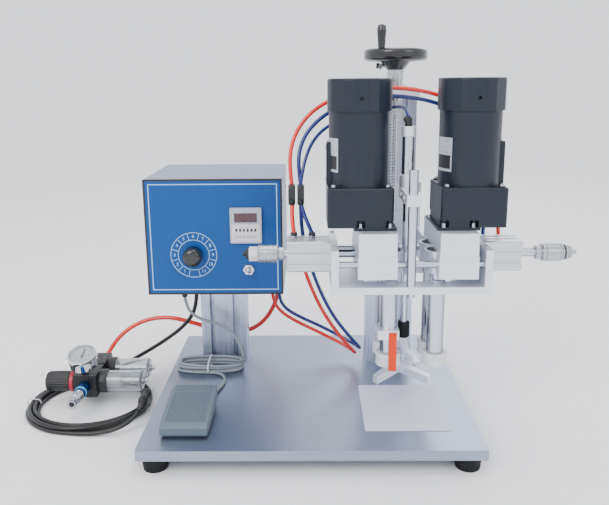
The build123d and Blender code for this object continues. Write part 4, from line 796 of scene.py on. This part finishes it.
def makeAdjuster(side):
    # piston rod, lock ring, knurled barrel, hexagon and tip, turned in one line
    name = "left" if side < 0 else "right"
    low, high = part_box(name + "_cylinder_rod")
    outer, inner = (low.x, high.x) if side < 0 else (high.x, low.x)
    end = outer / mm - side * cylinder["adjuster"]  # where the lock ring starts
    bm = bmesh.new()
    axis = (side, 0, 0)
    y, z = cylinder["y"], cylinder["z"]
    start = (inner / mm, y, z)
    reach = abs(end - inner / mm)
    addTurning(bm, [(5.4, 0), (6, 0.6), (6, reach)], start, axis, 1, 32)
    barrel = [(9, 0), (10, 0.8), (10, 7.6), (9.4, 8.4), (9.4, 9.4), (12.2, 9.4), (13, 10.4), (13, 14), (12.4,
                                                                                                        14.5),
              (12.4, 15.3), (13, 15.8), (13, 34), (12.4, 34.5), (12.4, 35.3), (13, 35.8), (13, 37.4), (12,
                                                                                                       38.2),
              (9, 38.2)]
    addTurning(bm, barrel, (end, y, z), axis, 0, 72,
               lambda a, r, s: r * (1 + 0.008 * math.cos(36 * a)) if 15.8 <= s <= 34 and r > 12.9 else r)
    if side < 0:
        addPrism(bm, hexagon(19), (end - 38.2, y, z), axis, 12.4, 2)
        addTurning(bm, [(6.5, 50.4), (8, 51), (8, 54), (7, 55), (3.5, 55), (3.5, 59.4), (3, 60)], (end, y,
                                                                                                   z), axis,
                                                                                                   3, 32)
    else:
        addTurning(bm, [(10.2, 38.2), (11, 39), (11, 44), (9.6, 45), (9.6, 46), (10.6, 46.6), (8, 53), (4,
                                                                                                        54.6),
                        (3.5, 55), (3.5, 59.4), (3, 60)], (end, y, z), axis, 0, 40)
        addTurning(bm, [(9.2, 40.4), (11.15, 40.6), (11.15, 43), (9.2, 43.2)], (end, y, z), axis, 3, 40)
    newPiece(name + "Adjuster", bm, [turned, ground, nylon, moulding], name + "_carriage", 0,
             [name + "_cylinder_rod"], 30)


makeLeadScrew()
for side in (-1, 1):
    makeAdjuster(side)


def makeHeadScrews():
    # socket screws on the moving head: wall tops, slide plate and upper blocks' clamp plates
    bm = bmesh.new()
    for side in (-1, 1):
        for y in (-46, 48):
            addSocketScrew(bm, (side * 103.5, y, 264), (0, 0, 1), 2.6, 2.2)
    for x in (-28, 28):
        for z in (228, 303):
            addSocketScrew(bm, (x, 164.6, z), (0, -1, 0), 3.4, 3.2)
    newPiece("headScrews", bm, [turned, moulding], "head", 0.1)
    bm = bmesh.new()
    for x in (-20, 20):
        addSocketScrew(bm, (x, 193, 474), (0, 0, 1), 5.5, 4.5)
    for x in (-30, 30):
        addSocketScrew(bm, (x, 143, 474), (0, 0, 1), 3, 2.5)
    newPiece("plateScrews", bm, [turned, moulding], "base", 0.1)


def makeCylinderEnds():
    # end caps held by four screws each
    bm = bmesh.new()
    reach = cylinder["screwReach"]
    low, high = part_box("air_cylinders")
    for side, endX in ((-1, low.x / mm), (1, high.x / mm)):
        for y in (-reach, reach):
            for z in (-reach, reach):
                place = (endX - side * 0.3, cylinder["y"] + y, cylinder["z"] + z)
                addSocketScrew(bm, place, (side, 0, 0), 3.0, 2.4)
    newPiece("cylinderScrews", bm, [turned, moulding], "head", 0.1)


makeHeadScrews()
makeCylinderEnds()


motorSet = {"radius": 42, "capZ": 447, "gearTop": 345, "screwReach": 36.6, "label": (32, 46, 388)}


def motorCentre(side):
    low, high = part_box(("left" if side < 0 else "right") + "_gearbox")
    centreX = (high.x - 45 * mm) / mm if side > 0 else (low.x + 45 * mm) / mm
    return centreX, 0


def makeMotorTrim(side):
    name = "left" if side < 0 else "right"
    x, y = motorCentre(side)
    body = name + "_carriage"
    capZ, top = motorSet["capZ"], motorSet["gearTop"]
    bm = bmesh.new()
    # turned joint lines: under the cap and above the gearbox
    addTurning(bm, [(42.0, capZ - 2.2), (42.5, capZ - 1.8), (42.5, capZ + 0.2)], (x, y, 0), (0, 0, 1), 0, 96)
    addTurning(bm, [(42.0, top - 0.2), (43.4, top - 0.2), (43.4, top + 1.6), (42.0, top + 2.2)], (x, y, 0),
               (0, 0, 1), 0, 96)
    newPiece(name + "MotorBands", bm, enamel, body, 0)
    # gearbox top flange: a thin lip whose broken edge catches the light
    bm = bmesh.new()
    makeLip(bm, x, y, 45.25, 4.5, top - 5.2, top - 3.6)
    newPiece(name + "GearboxLip", bm, enamel, body, 0.3)
    # four long screws through the corners into the gearbox, each standing on a dark ring painted as the shade of
    # its pocket
    bm = bmesh.new()
    for sx in (-1, 1):
        for sy in (-1, 1):
            place = (x + sx * motorSet["screwReach"], y + sy * motorSet["screwReach"], top)
            addTurning(bm, [(5.2, 0), (5.2, 1.0), (4.6, 1.6)], place, (0, 0, 1), 1, 24)
            addSocketScrew(bm, (place[0], place[1], top + 1.2), (0, 0, 1), 3.2, 3.4)
    newPiece(name + "MotorScrews", bm, [turned, moulding], body, 0)
    # the two bright bolts in the notch over each drive plate
    driveX = x - side * 18
    bm = bmesh.new()
    for dx in (-20, 20):
        for sy in (-1, 1):
            addTurning(bm, [(4.6, 0), (4.6, 0.8), (3.0, 1.0), (3.0, 5.6), (2.4, 6.2)],
                       (driveX - side * 2 + dx, sy * 40, 291), (0, 0, 1), 0, 24)
    newPiece(name + "PlateBolts", bm, turned, body, 0)
    makeMotorLabel(name, x, y, body)
    makeWiringCover(name, side, x, y, body)


def makeLip(bm, x, y, half, corner, low, high):
    # a square band with round corners, hollow inside
    def outline(h, r):
        points = []
        for cx, cy, start in ((1, 1, 0), (-1, 1, 90), (-1, -1, 180), (1, -1, 270)):
            for i in range(7):
                a = math.radians(start + 15 * i)
                points.append((cx * (h - r) + r * math.cos(a), cy * (h - r) + r * math.sin(a)))
        return points
    outer, inner = outline(half, corner), outline(half - 1.2, corner - 1.0)
    rings = [[bm.verts.new(Vector((x + px, y + py, z)) * mm) for px, py in ring]
             for ring, z in ((outer, low), (outer, high), (inner, high), (inner, low))]
    bridgeRings(bm, rings, "joined")


def makeMotorLabel(name, x, y, body):
    # blank foil plate wrapped on the flank, with its dark lower block and a few rating cells
    width, high, z = motorSet["label"]
    radius = motorSet["radius"] + 0.15
    middle = math.radians(202)

    def patch(bm, a0, a1, z0, z1, lift, index):
        steps = 12
        rows = []
        for zz in (z0, z1):
            for r in (radius - 0.2, radius + lift):
                rows.append([bm.verts.new(Vector((x + r * math.cos(a0 + (a1 - a0) * i / steps),
                                                  y + r * math.sin(a0 + (a1 - a0) * i / steps), zz)) * mm)
                             for i in range(steps + 1)])
        lowIn, lowOut, highIn, highOut = rows
        for i in range(steps):
            for a, b in ((lowOut, highOut), (highIn, lowIn), (lowIn, lowOut), (highOut, highIn)):
                face = bm.faces.new((a[i], a[i + 1], b[i + 1], b[i]))
                face.material_index = index
        for i in (0, steps):
            face = bm.faces.new((lowIn[i], lowOut[i], highOut[i], highIn[i]))
            face.material_index = index

    half = width / 2 / radius
    bm = bmesh.new()
    patch(bm, middle - half, middle + half, z - high / 2, z + high / 2, 0.1, 0)
    patch(bm, middle - half * 0.86, middle + half * 0.86, z - high * 0.42, z - high * 0.02, 0.18, 1)
    for row in range(2):
        for cell in range(3):
            a = middle - half * 0.8 + cell * half * 0.56
            patch(bm, a, a + half * 0.4, z + 5 + 8 * row, z + 9 + 8 * row, 0.16, 2)
    newPiece(name + "MotorLabel", bm, [foil, blackInk, bezelGrey], body, 0)


def makeWiringCover(name, side, x, y, body):
    # lid of the wiring channel, with two pan screws
    bm = bmesh.new()
    outer = x + side * 44.5
    lowX, highX = sorted((outer, outer + side * 1.2))
    addBlock(bm, (lowX, -13.5, 347), (highX, 13.5, 403), 0)
    newPiece(name + "WiringLid", bm, enamel, body, 0.5)
    bm = bmesh.new()
    for z in (353, 397):
        addTurning(bm, [(2.6, 0), (2.6, 0.5), (1.6, 1.4)], (outer + side * 1.2, 0, z), (side, 0, 0), 0, 24)
    newPiece(name + "WiringScrews", bm, turned, body, 0)


for side in (-1, 1):
    makeMotorTrim(side)


wheelSet = {"top": 103.5, "height": 19, "gearZ": 233, "gearHigh": 10, "teeth": 28, "driveTeeth": 38}


def gearOutline(teeth, phase):
    pitch = teeth / 2
    tip, root, halfTooth = pitch + 0.9, pitch - 1.15, math.pi / 4 - 0.125
    points = []
    for tooth in range(teeth):
        middle = math.radians(phase) + 2 * math.pi * tooth / teeth
        for radius, half in ((root, halfTooth * 1.45), (tip, halfTooth * 0.5), (tip, -halfTooth * 0.5),
                             (root, -halfTooth * 1.45)):
            angle = middle - half / radius
            points.append((radius * math.cos(angle), radius * math.sin(angle)))
    return points


def makeSpindle(side, place):
    name = "left" if side < 0 else "right"
    low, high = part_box(f"{name}_{place}_spindle")
    x, y = (low.x + high.x) / 2 / mm, (low.y + high.y) / 2 / mm
    driveX = x + side * math.sqrt(33 ** 2 - 21.5 ** 2)
    direction = math.degrees(math.atan2(y, x - driveX))
    drivePitch, spindlePitch = 360 / wheelSet["driveTeeth"], 360 / wheelSet["teeth"]
    phase = direction + 180 + spindlePitch / 2 + (direction % drivePitch) / drivePitch * spindlePitch
    bm = bmesh.new()
    base = wheelSet["top"] - wheelSet["height"]
    # turned nylon tread with a shallow waist, gripped between two steel washers
    addTurning(bm, [(14, 0), (17.2, 0), (18, 0.8), (18, 4.6), (17.3, 5.4), (17.3, 13.6), (18, 14.4), (18,
                                                                                                      18.2),
                    (17.2, 19), (14, 19)], (x, y, base), (0, 0, 1), 0, 64)
    addTurning(bm, [(8.5, -0.9), (9.5, -0.4), (9.5, 0.4)], (x, y, base), (0, 0, 1), 1, 40)
    addPrism(bm, hexagon(9), (x, y, base - 2), (0, 0, 1), 1.6, 1)
    addTurning(bm, [(9.5, 18.8), (9.5, 19.8), (7, 20.6), (5, 20.6), (5, 158.5)], (x, y, base), (0, 0, 1), 1,
               40)
    addPrism(bm, gearOutline(wheelSet["teeth"], phase), (x, y, wheelSet["gearZ"]), (0, 0, 1),
             wheelSet["gearHigh"], 2)
    newPiece(f"{name}{place.capitalize()}Wheel", bm, [nylon, ground, gearMetal], f"{name}_{place}_wheel",
             0, [f"{name}_{place}_spindle"], 30)


for side in (-1, 1):
    for place in ("front", "rear"):
        makeSpindle(side, place)
print("drives dressed")


def makePresserCylinder():
    # round mini cylinder: rolled end caps, thin bright tube, hexagon nose nut, black elbow on top
    bm = bmesh.new()
    addTurning(bm, [(7, 325), (7, 340), (9.6, 340), (11, 341), (11, 357), (10.4, 357.6), (9.2, 357.6), (9.2,
                                                                                                        358.6),
                    (8.9, 359)], (0, 0, 0), (0, 0, 1), 1, 48)
    addTurning(bm, [(8.9, 358.8), (8.9, 411)], (0, 0, 0), (0, 0, 1), 0, 48)
    addTurning(bm, [(8.9, 410.6), (9.2, 411), (10.6, 411.4), (11, 412), (11, 424), (10, 425), (6, 425)],
               (0, 0, 0), (0, 0, 1), 1, 48)
    addPrism(bm, hexagon(13), (0, 0, 340.2), (0, 0, 1), 0.1, 1)
    newPiece("presserCylinder", bm, [ground, blasted], "head", 0, ["presser_cylinder"],
             30)
    bm = bmesh.new()
    addTurning(bm, [(5.2, 425), (5.2, 428), (4.6, 428.6), (4.6, 434), (5, 434.4), (5, 436.6), (4, 437)],
               (0, 0, 0), (0, 0, 1), 0, 32)
    addTurning(bm, [(4.4, 0), (4.4, 7), (3.9, 8), (3.2, 8)], (0, 1.5, 430.5), (-0.6, -0.35, 0.72), 0, 32)
    newPiece("presserElbow", bm, moulding, "head", 0.2)


def makeArmScrews():
    bm = bmesh.new()
    for y in (-44, -16):
        addSocketScrew(bm, (10, y, 332.5), (1, 0, 0), 2.6, 2.4)
        addSocketScrew(bm, (-10, y, 332.5), (-1, 0, 0), 2.6, 2.4)
    newPiece("armScrews", bm, [turned, moulding], "head", 0.1)
    bm = bmesh.new()
    addSocketScrew(bm, (-40.5, -40.5 + 8, 134.5), (-1, 0, 0), 2.4, 2.4)
    newPiece("clampScrew", bm, [turned, moulding], "left_carriage", 0.1)


makePresserCylinder()
makeArmScrews()


def makeSetScrew():
    bm = bmesh.new()
    addTurning(bm, [(2, 0), (2, 9), (3.6, 9.4), (4.4, 10), (4.4, 15), (3.6, 15.8)], (-12, 153, 509), (-1, 0,
                                                                                                      0), 0,
                                                                                                      36,
               lambda a, r, s: r * (1 + 0.06 * math.cos(18 * a)) if 9.9 < s < 15.1 else r)
    newPiece("setScrew", bm, turned, "handwheel", 0)


makeSetScrew()


pedalSet = {"x": -316, "width": 69, "front": -79, "back": 27, "frontTop": 17, "backTop": 30}


def pedalTop(y):
    # height of the tread: a gentle crown that rises to the back and rolls over at both ends
    t = (y - pedalSet["front"]) / (pedalSet["back"] - pedalSet["front"])
    return pedalSet["frontTop"] + (pedalSet["backTop"] - pedalSet["frontTop"]) * min(1, t / 0.96)


def makeTreadle():
    bm = bmesh.new()
    x, half = pedalSet["x"], pedalSet["width"] / 2
    front, back = pedalSet["front"], pedalSet["back"]
    rows, columns = 26, 20

    def halfAt(y):
        # the plan narrows in a soft curve towards both ends
        t = (y - front) / (back - front)
        return half - 1.0 * abs(2 * t - 1) ** 2.6

    def lower(px, y):
        # the skirt rises to the back, and clears the cable spout there
        if y > back - 1 and abs(px - x - 24) < 7:
            return 16.5
        return 2.5 + 6.5 * (y - front) / (back - front)

    grid = []
    for i in range(rows + 1):
        y = front + (back - front) * i / rows
        row = []
        for j in range(columns + 1):
            u = 2 * j / columns - 1
            edge = 1.2 * abs(u) ** 8
            end = 2.5 * abs(2 * i / rows - 1) ** 16
            row.append(bm.verts.new(Vector((x + halfAt(y) * u, y, pedalTop(y) - edge - end)) * mm))
        grid.append(row)
    for a, b in zip(grid, grid[1:]):
        for j in range(columns):
            bm.faces.new((a[j], a[j + 1], b[j + 1], b[j]))
    rim = ([grid[0][j] for j in range(columns + 1)] + [grid[i][columns] for i in range(1, rows + 1)]
           + [grid[rows][j] for j in range(columns - 1, -1, -1)] + [grid[i][0] for i in range(rows - 1, 0,
                                                                                              -1)])
    skirt = []
    for v in rim:
        y = v.co.y / mm
        skirt.append(bm.verts.new(Vector((v.co.x, v.co.y, lower(v.co.x / mm, y) * mm))))
    inside = []
    for v in skirt:
        pull = Vector((x * mm - v.co.x, (front + back) / 2 * mm - v.co.y, 0)).normalized() * 1.6 * mm
        inside.append(bm.verts.new(v.co + pull))
    bridgeRings(bm, [skirt, rim])
    bridgeRings(bm, [inside, skirt])
    newPiece("treadle", bm, pedalGrey, "pedal", 1.6, ["pedal_treadle"], 40)
    # fore-and-aft grip ribs on the front four fifths, then one cross band and a few cross ribs at the back
    bm = bmesh.new()
    for i in range(19):
        ribX = x - 27 + 3 * i
        addRib(bm, (ribX, -68), (ribX, 2), 1.5)
    for i in range(5):
        y = 7 + 3.2 * i
        addRib(bm, (x - 28, y), (x + 28, y), 1.5)
    newPiece("treadleRibs", bm, pedalGrey, "pedal", 0.35, (), 40)
    bm = bmesh.new()
    for end in (-1, 1):
        addTurning(bm, [(2.6, 0), (2.6, 0.5), (1.8, 0.9)], (x + end * (half - 1.0), -66, 6), (end, 0, 0), 0,
                   24)
    newPiece("pedalPin", bm, turned, "pedal", 0)


def addRib(bm, start, end, wide):
    # a low rounded bar that follows the crown of the tread
    steps = 8
    (x0, y0), (x1, y1) = start, end
    acrossX, acrossY = (wide / 2, 0) if abs(y1 - y0) > abs(x1 - x0) else (0, wide / 2)
    rings = []
    for i in range(steps + 1):
        t = i / steps
        px, py = x0 + (x1 - x0) * t, y0 + (y1 - y0) * t
        ring = []
        for sideways, up in ((-1, -0.8), (-0.8, 0.8), (0.8, 0.8), (1, -0.8)):
            rx, ry = px + sideways * acrossX, py + sideways * acrossY
            ring.append(bm.verts.new(Vector((rx, ry, pedalTop(ry) + up)) * mm))
        rings.append(ring)
    bridgeRings(bm, rings, "capped")


makeTreadle()


unit = {"x": -508, "z": -0.7, "regulatorY": 100, "lubricatorY": 148, "knobX": -527.3, "bowlX": -489,
        "inletY": 78, "outletY": 170}


def makeAirUnit():
    x, z = unit["x"], unit["z"]
    # knurled pressure knob with its crimson locking ring
    bm = bmesh.new()
    place = (unit["knobX"], unit["regulatorY"], z)
    addTurning(bm, [(15, 9.4), (16.5, 10.4), (16.5, 30), (16.2, 46), (14.6, 49), (12, 50), (8, 50), (7.4,
                                                                                                     48.6)],
               place, (-1, 0, 0), 0, 96,
               lambda a, r, s: r * (1 - 0.045 * (0.5 + 0.5 * math.cos(24 * a)) ** 2) if 10 < s < 47 else r)
    addTurning(bm, [(16.4, 2.4), (18, 3), (18, 8.4), (17, 9.2), (15, 9.4)], place, (-1, 0, 0), 1, 64)
    addTurning(bm, [(17.4, 0), (17.4, 2.5)], place, (-1, 0, 0), 0, 64)
    newPiece("pressureKnob", bm, [moulding, crimson], "regulator", 0, ["regulator_knob"], 30)
    # what shows inside the clear bowls: white filter element, dip rod, drain
    bm = bmesh.new()
    for y in (unit["regulatorY"], unit["lubricatorY"]):
        start = (unit["bowlX"], y, z)
        if y == unit["regulatorY"]:
            addTurning(bm, [(10, 14.4), (11.5, 15), (11.5, 33), (12.6, 34), (12.6, 36), (9, 37)], start, (1,
                                                                                                          0,
                                                                                                          0),
                                                                                                          0,
                                                                                                          40)
        addTurning(bm, [(3.2, 14.4), (3.2, 52), (5.2, 53), (5.2, 57), (2.2, 58), (2.2, 67)], start, (1, 0,
                                                                                                     0), 1,
                                                                                                     32)
    newPiece("bowlElements", bm, [nylon, turned], "base", 0)
    bm = bmesh.new()
    for y in (unit["regulatorY"], unit["lubricatorY"]):
        start = (unit["bowlX"], y, z)
        addTurning(bm, [(18.7, -0.4), (19.2, 0.4), (19.2, 12), (18.4, 14.2), (17.2, 14.4)], start, (1, 0, 0),
                   0, 64,
                   lambda a, r, s: r * (1 + 0.012 * math.cos(20 * a)) if 0.2 < s < 12.4 else r)
        addTurning(bm, [(6.4, 71.2), (6.4, 74), (4.8, 75), (3, 75), (3, 79), (2.4, 79.6)], start, (1, 0, 0),
                   1, 32)
    newPiece("bowlCollars", bm, [moulding, turned], "base", 0)
    # inlet: blue anodised fitting with a pale release band, then the knurled steel coupler plug
    bm = bmesh.new()
    place = (x, unit["inletY"], z)
    addTurning(bm, [(9.4, -0.4), (10.2, 0.4), (10.2, 11), (9.6, 11.6), (9.6, 18)], place, (0, -1, 0), 0, 48)
    addTurning(bm, [(9.9, 18), (10.1, 18.4), (10.1, 22.6), (9.8, 23)], place, (0, -1, 0), 1, 48)
    addTurning(bm, [(9.4, 23), (9.4, 26.6), (8.2, 27.4)], place, (0, -1, 0), 0, 48)
    newPiece("inletFitting", bm, [blueMetal, blueBand], "base", 0)
    bm = bmesh.new()
    addTurning(bm, [(8.2, 26.2), (8.2, 29), (7.4, 29.6), (7.4, 31), (8.3, 31.6), (8.3, 45), (7.4, 45.6),
                    (7.3, 48),
                    (7.3, 58.6), (6.4, 60), (4.4, 60.01), (4.2, 57)], place, (0, -1, 0), 0, 72,
               lambda a, r, s: r * (1 + 0.02 * math.cos(30 * a)) if 31.4 < s < 45.2 else r)
    newPiece("inletCoupler", bm, turned, "base", 0)
    # outlet fitting for the red hose, and the ribbed caps over each block
    bm = bmesh.new()
    outlet = unit["outletY"]
    addTurning(bm, [(8.2, -0.3), (8.2, 4)], (x, outlet, z), (0, 1, 0), 0, 48)
    addPrism(bm, hexagon(15), (x, outlet + 4, z), (0, 1, 0), 5, 0)
    addTurning(bm, [(7.8, 9), (7.8, 13), (6.8, 14.4), (4.3, 14.4)], (x, outlet, z), (0, 1, 0), 0, 48)
    for y in (unit["regulatorY"], unit["lubricatorY"]):
        for k in range(5):
            addBlock(bm, (x - 16 + 7 * k, y - 17, 18.0), (x - 12.5 + 7 * k, y + 17, 18.9), 0)
    newPiece("airUnitTrim", bm, moulding, "base", 0.3)


gauge = {"centre": (-514, 96, 40.3), "tilt": 20, "face": 5.05, "ticks": 40, "tickRadius": 17.6}


def makeGauge():
    tilt = math.radians(gauge["tilt"])
    axis = Vector((0, -math.sin(tilt), math.cos(tilt)))
    centre = Vector(gauge["centre"])
    face = centre + axis * gauge["face"]
    up = Vector((0, math.cos(tilt), math.sin(tilt)))
    bm = bmesh.new()
    addTurning(bm, [(20.6, 0), (20.6, 0.5)], face, axis, 0, 64)
    turnFrame = Matrix((Vector((1, 0, 0)), up, axis)).transposed()
    edge = gauge["tickRadius"]
    for i in range(gauge["ticks"] + 1):
        angle = math.radians(225 - 270 * i / gauge["ticks"])
        long = 4.2 if i % 10 == 0 else 3.0 if i % 5 == 0 else 1.7
        wide = 0.8 if i % 10 == 0 else 0.35
        along = Vector((math.cos(angle), math.sin(angle), 0))
        acrossTick = Vector((-math.sin(angle), math.cos(angle), 0))
        corners = [along * r + acrossTick * w for r, w in ((edge, -wide / 2), (edge, wide / 2),
                                                           (edge - long, wide / 2), (edge - long, -wide / 2))]
        ring = [bm.verts.new((face + turnFrame @ (c + Vector((0, 0, 0.56)))) * mm) for c in corners]
        tick = bm.faces.new(ring)
        tick.material_index = 1
    newPiece("gaugeDial", bm, [dialPaint, blackInk], "base", 0)
    for i in range(5):
        angle = math.radians(225 - 270 * i / 4)
        spot = face + turnFrame @ Vector((10.6 * math.cos(angle), 10.6 * math.sin(angle), 0.6))
        makeNumber(f"gaugeNumber{i}", str(i * 2), 4.4, 0.03, blackInk,
                   Matrix.Translation(spot * mm) @ turnFrame.to_4x4())
    bm = bmesh.new()
    addTurning(bm, [(20.7, 4.0), (20.7, 4.5), (12, 4.75), (2, 4.8)], face, axis, 0, 64)
    newPiece("gaugeGlass", bm, lens, "base", 0)
    bm = bmesh.new()
    ringFrame = alongAxis(face, axis)
    section = ((20.9, 4.2), (21.4, 5.6), (23.3, 5.4), (23.6, 4.4), (23.6, -1.5), (23.0, -2.2))
    bridgeRings(bm,
                [[bm.verts.new(ringFrame @ (Vector((px, py, along)) * mm)) for px, py in circlePoints(radius,
                                                                                                      64)]
                     for radius, along in section], "joined")
    newPiece("gaugeBezel", bm, chrome, "base", 0, (), 30)


makeAirUnit()
makeGauge()
print("air unit dressed")


studio = {
    "centre": (-0.15, 0.1), "aim": (-0.12, 0.08, 0.2), "sky": (0.97, 0.98, 1.0, 1), "skyStrength": 1.5,
    "bowl": [(0.001, 0), (1.6, 0), (2.6, 0), (3.1, 0.05), (3.5, 0.22), (3.8, 0.55), (3.95, 1), (4, 1.6)],
    # the bowl is (radius, rise); panels are place, size, watts, warmth: a broad key from the upper left, a fill, and two for the metal
    "panels": {
        "keyPanel": ((-1.5, -1.9, 2.1), 1.4, 48, (1, 0.985, 0.96)),
        "fillPanel": ((1.6, -1.6, 1.3), 1.2, 12, (0.95, 0.97, 1)),
        "topPanel": ((0.1, 0.3, 2.3), 1.3, 16, (1, 1, 1)),
        "backPanel": ((0.6, 2.2, 1.5), 1.0, 10, (0.96, 0.98, 1)),
    },
}


def makeStudio():
    # a shallow white bowl: floor all round that rises softly, so every side has the same pale ground
    bm = bmesh.new()
    x, y = studio["centre"]
    rings = [[bm.verts.new(Vector((x + px, y + py, floorZ + high))) for px, py in circlePoints(radius, 96)]
             for radius, high in studio["bowl"]]
    bm.faces.new(rings[0])
    bridgeRings(bm, rings)
    mesh = bpy.data.meshes.new("studioFloor")
    bmesh.ops.recalc_face_normals(bm, faces=bm.faces)
    bm.to_mesh(mesh)
    bm.free()
    mesh.materials.append(floorPaint)
    mesh.polygons.foreach_set("use_smooth", [True] * len(mesh.polygons))
    floor = bpy.data.objects.new("studioFloor", mesh)
    scene.collection.objects.link(floor)
    world = bpy.data.worlds.new("studioAir")
    scene.world = world
    world.use_nodes = True
    sky = world.node_tree.nodes["Background"]
    sky.inputs["Color"].default_value = studio["sky"]
    sky.inputs["Strength"].default_value = studio["skyStrength"]
    for name, (place, size, watts, tint) in studio["panels"].items():
        data = bpy.data.lights.new(name, "AREA")
        data.shape = "SQUARE"
        data.size = size
        data.energy = watts
        data.color = tint
        light = bpy.data.objects.new(name, data)
        scene.collection.objects.link(light)
        light.location = place
        aim = Vector(studio["aim"]) - Vector(place)
        light.rotation_euler = aim.to_track_quat("-Z", "Y").to_euler()


makeStudio()
print("studio lit")
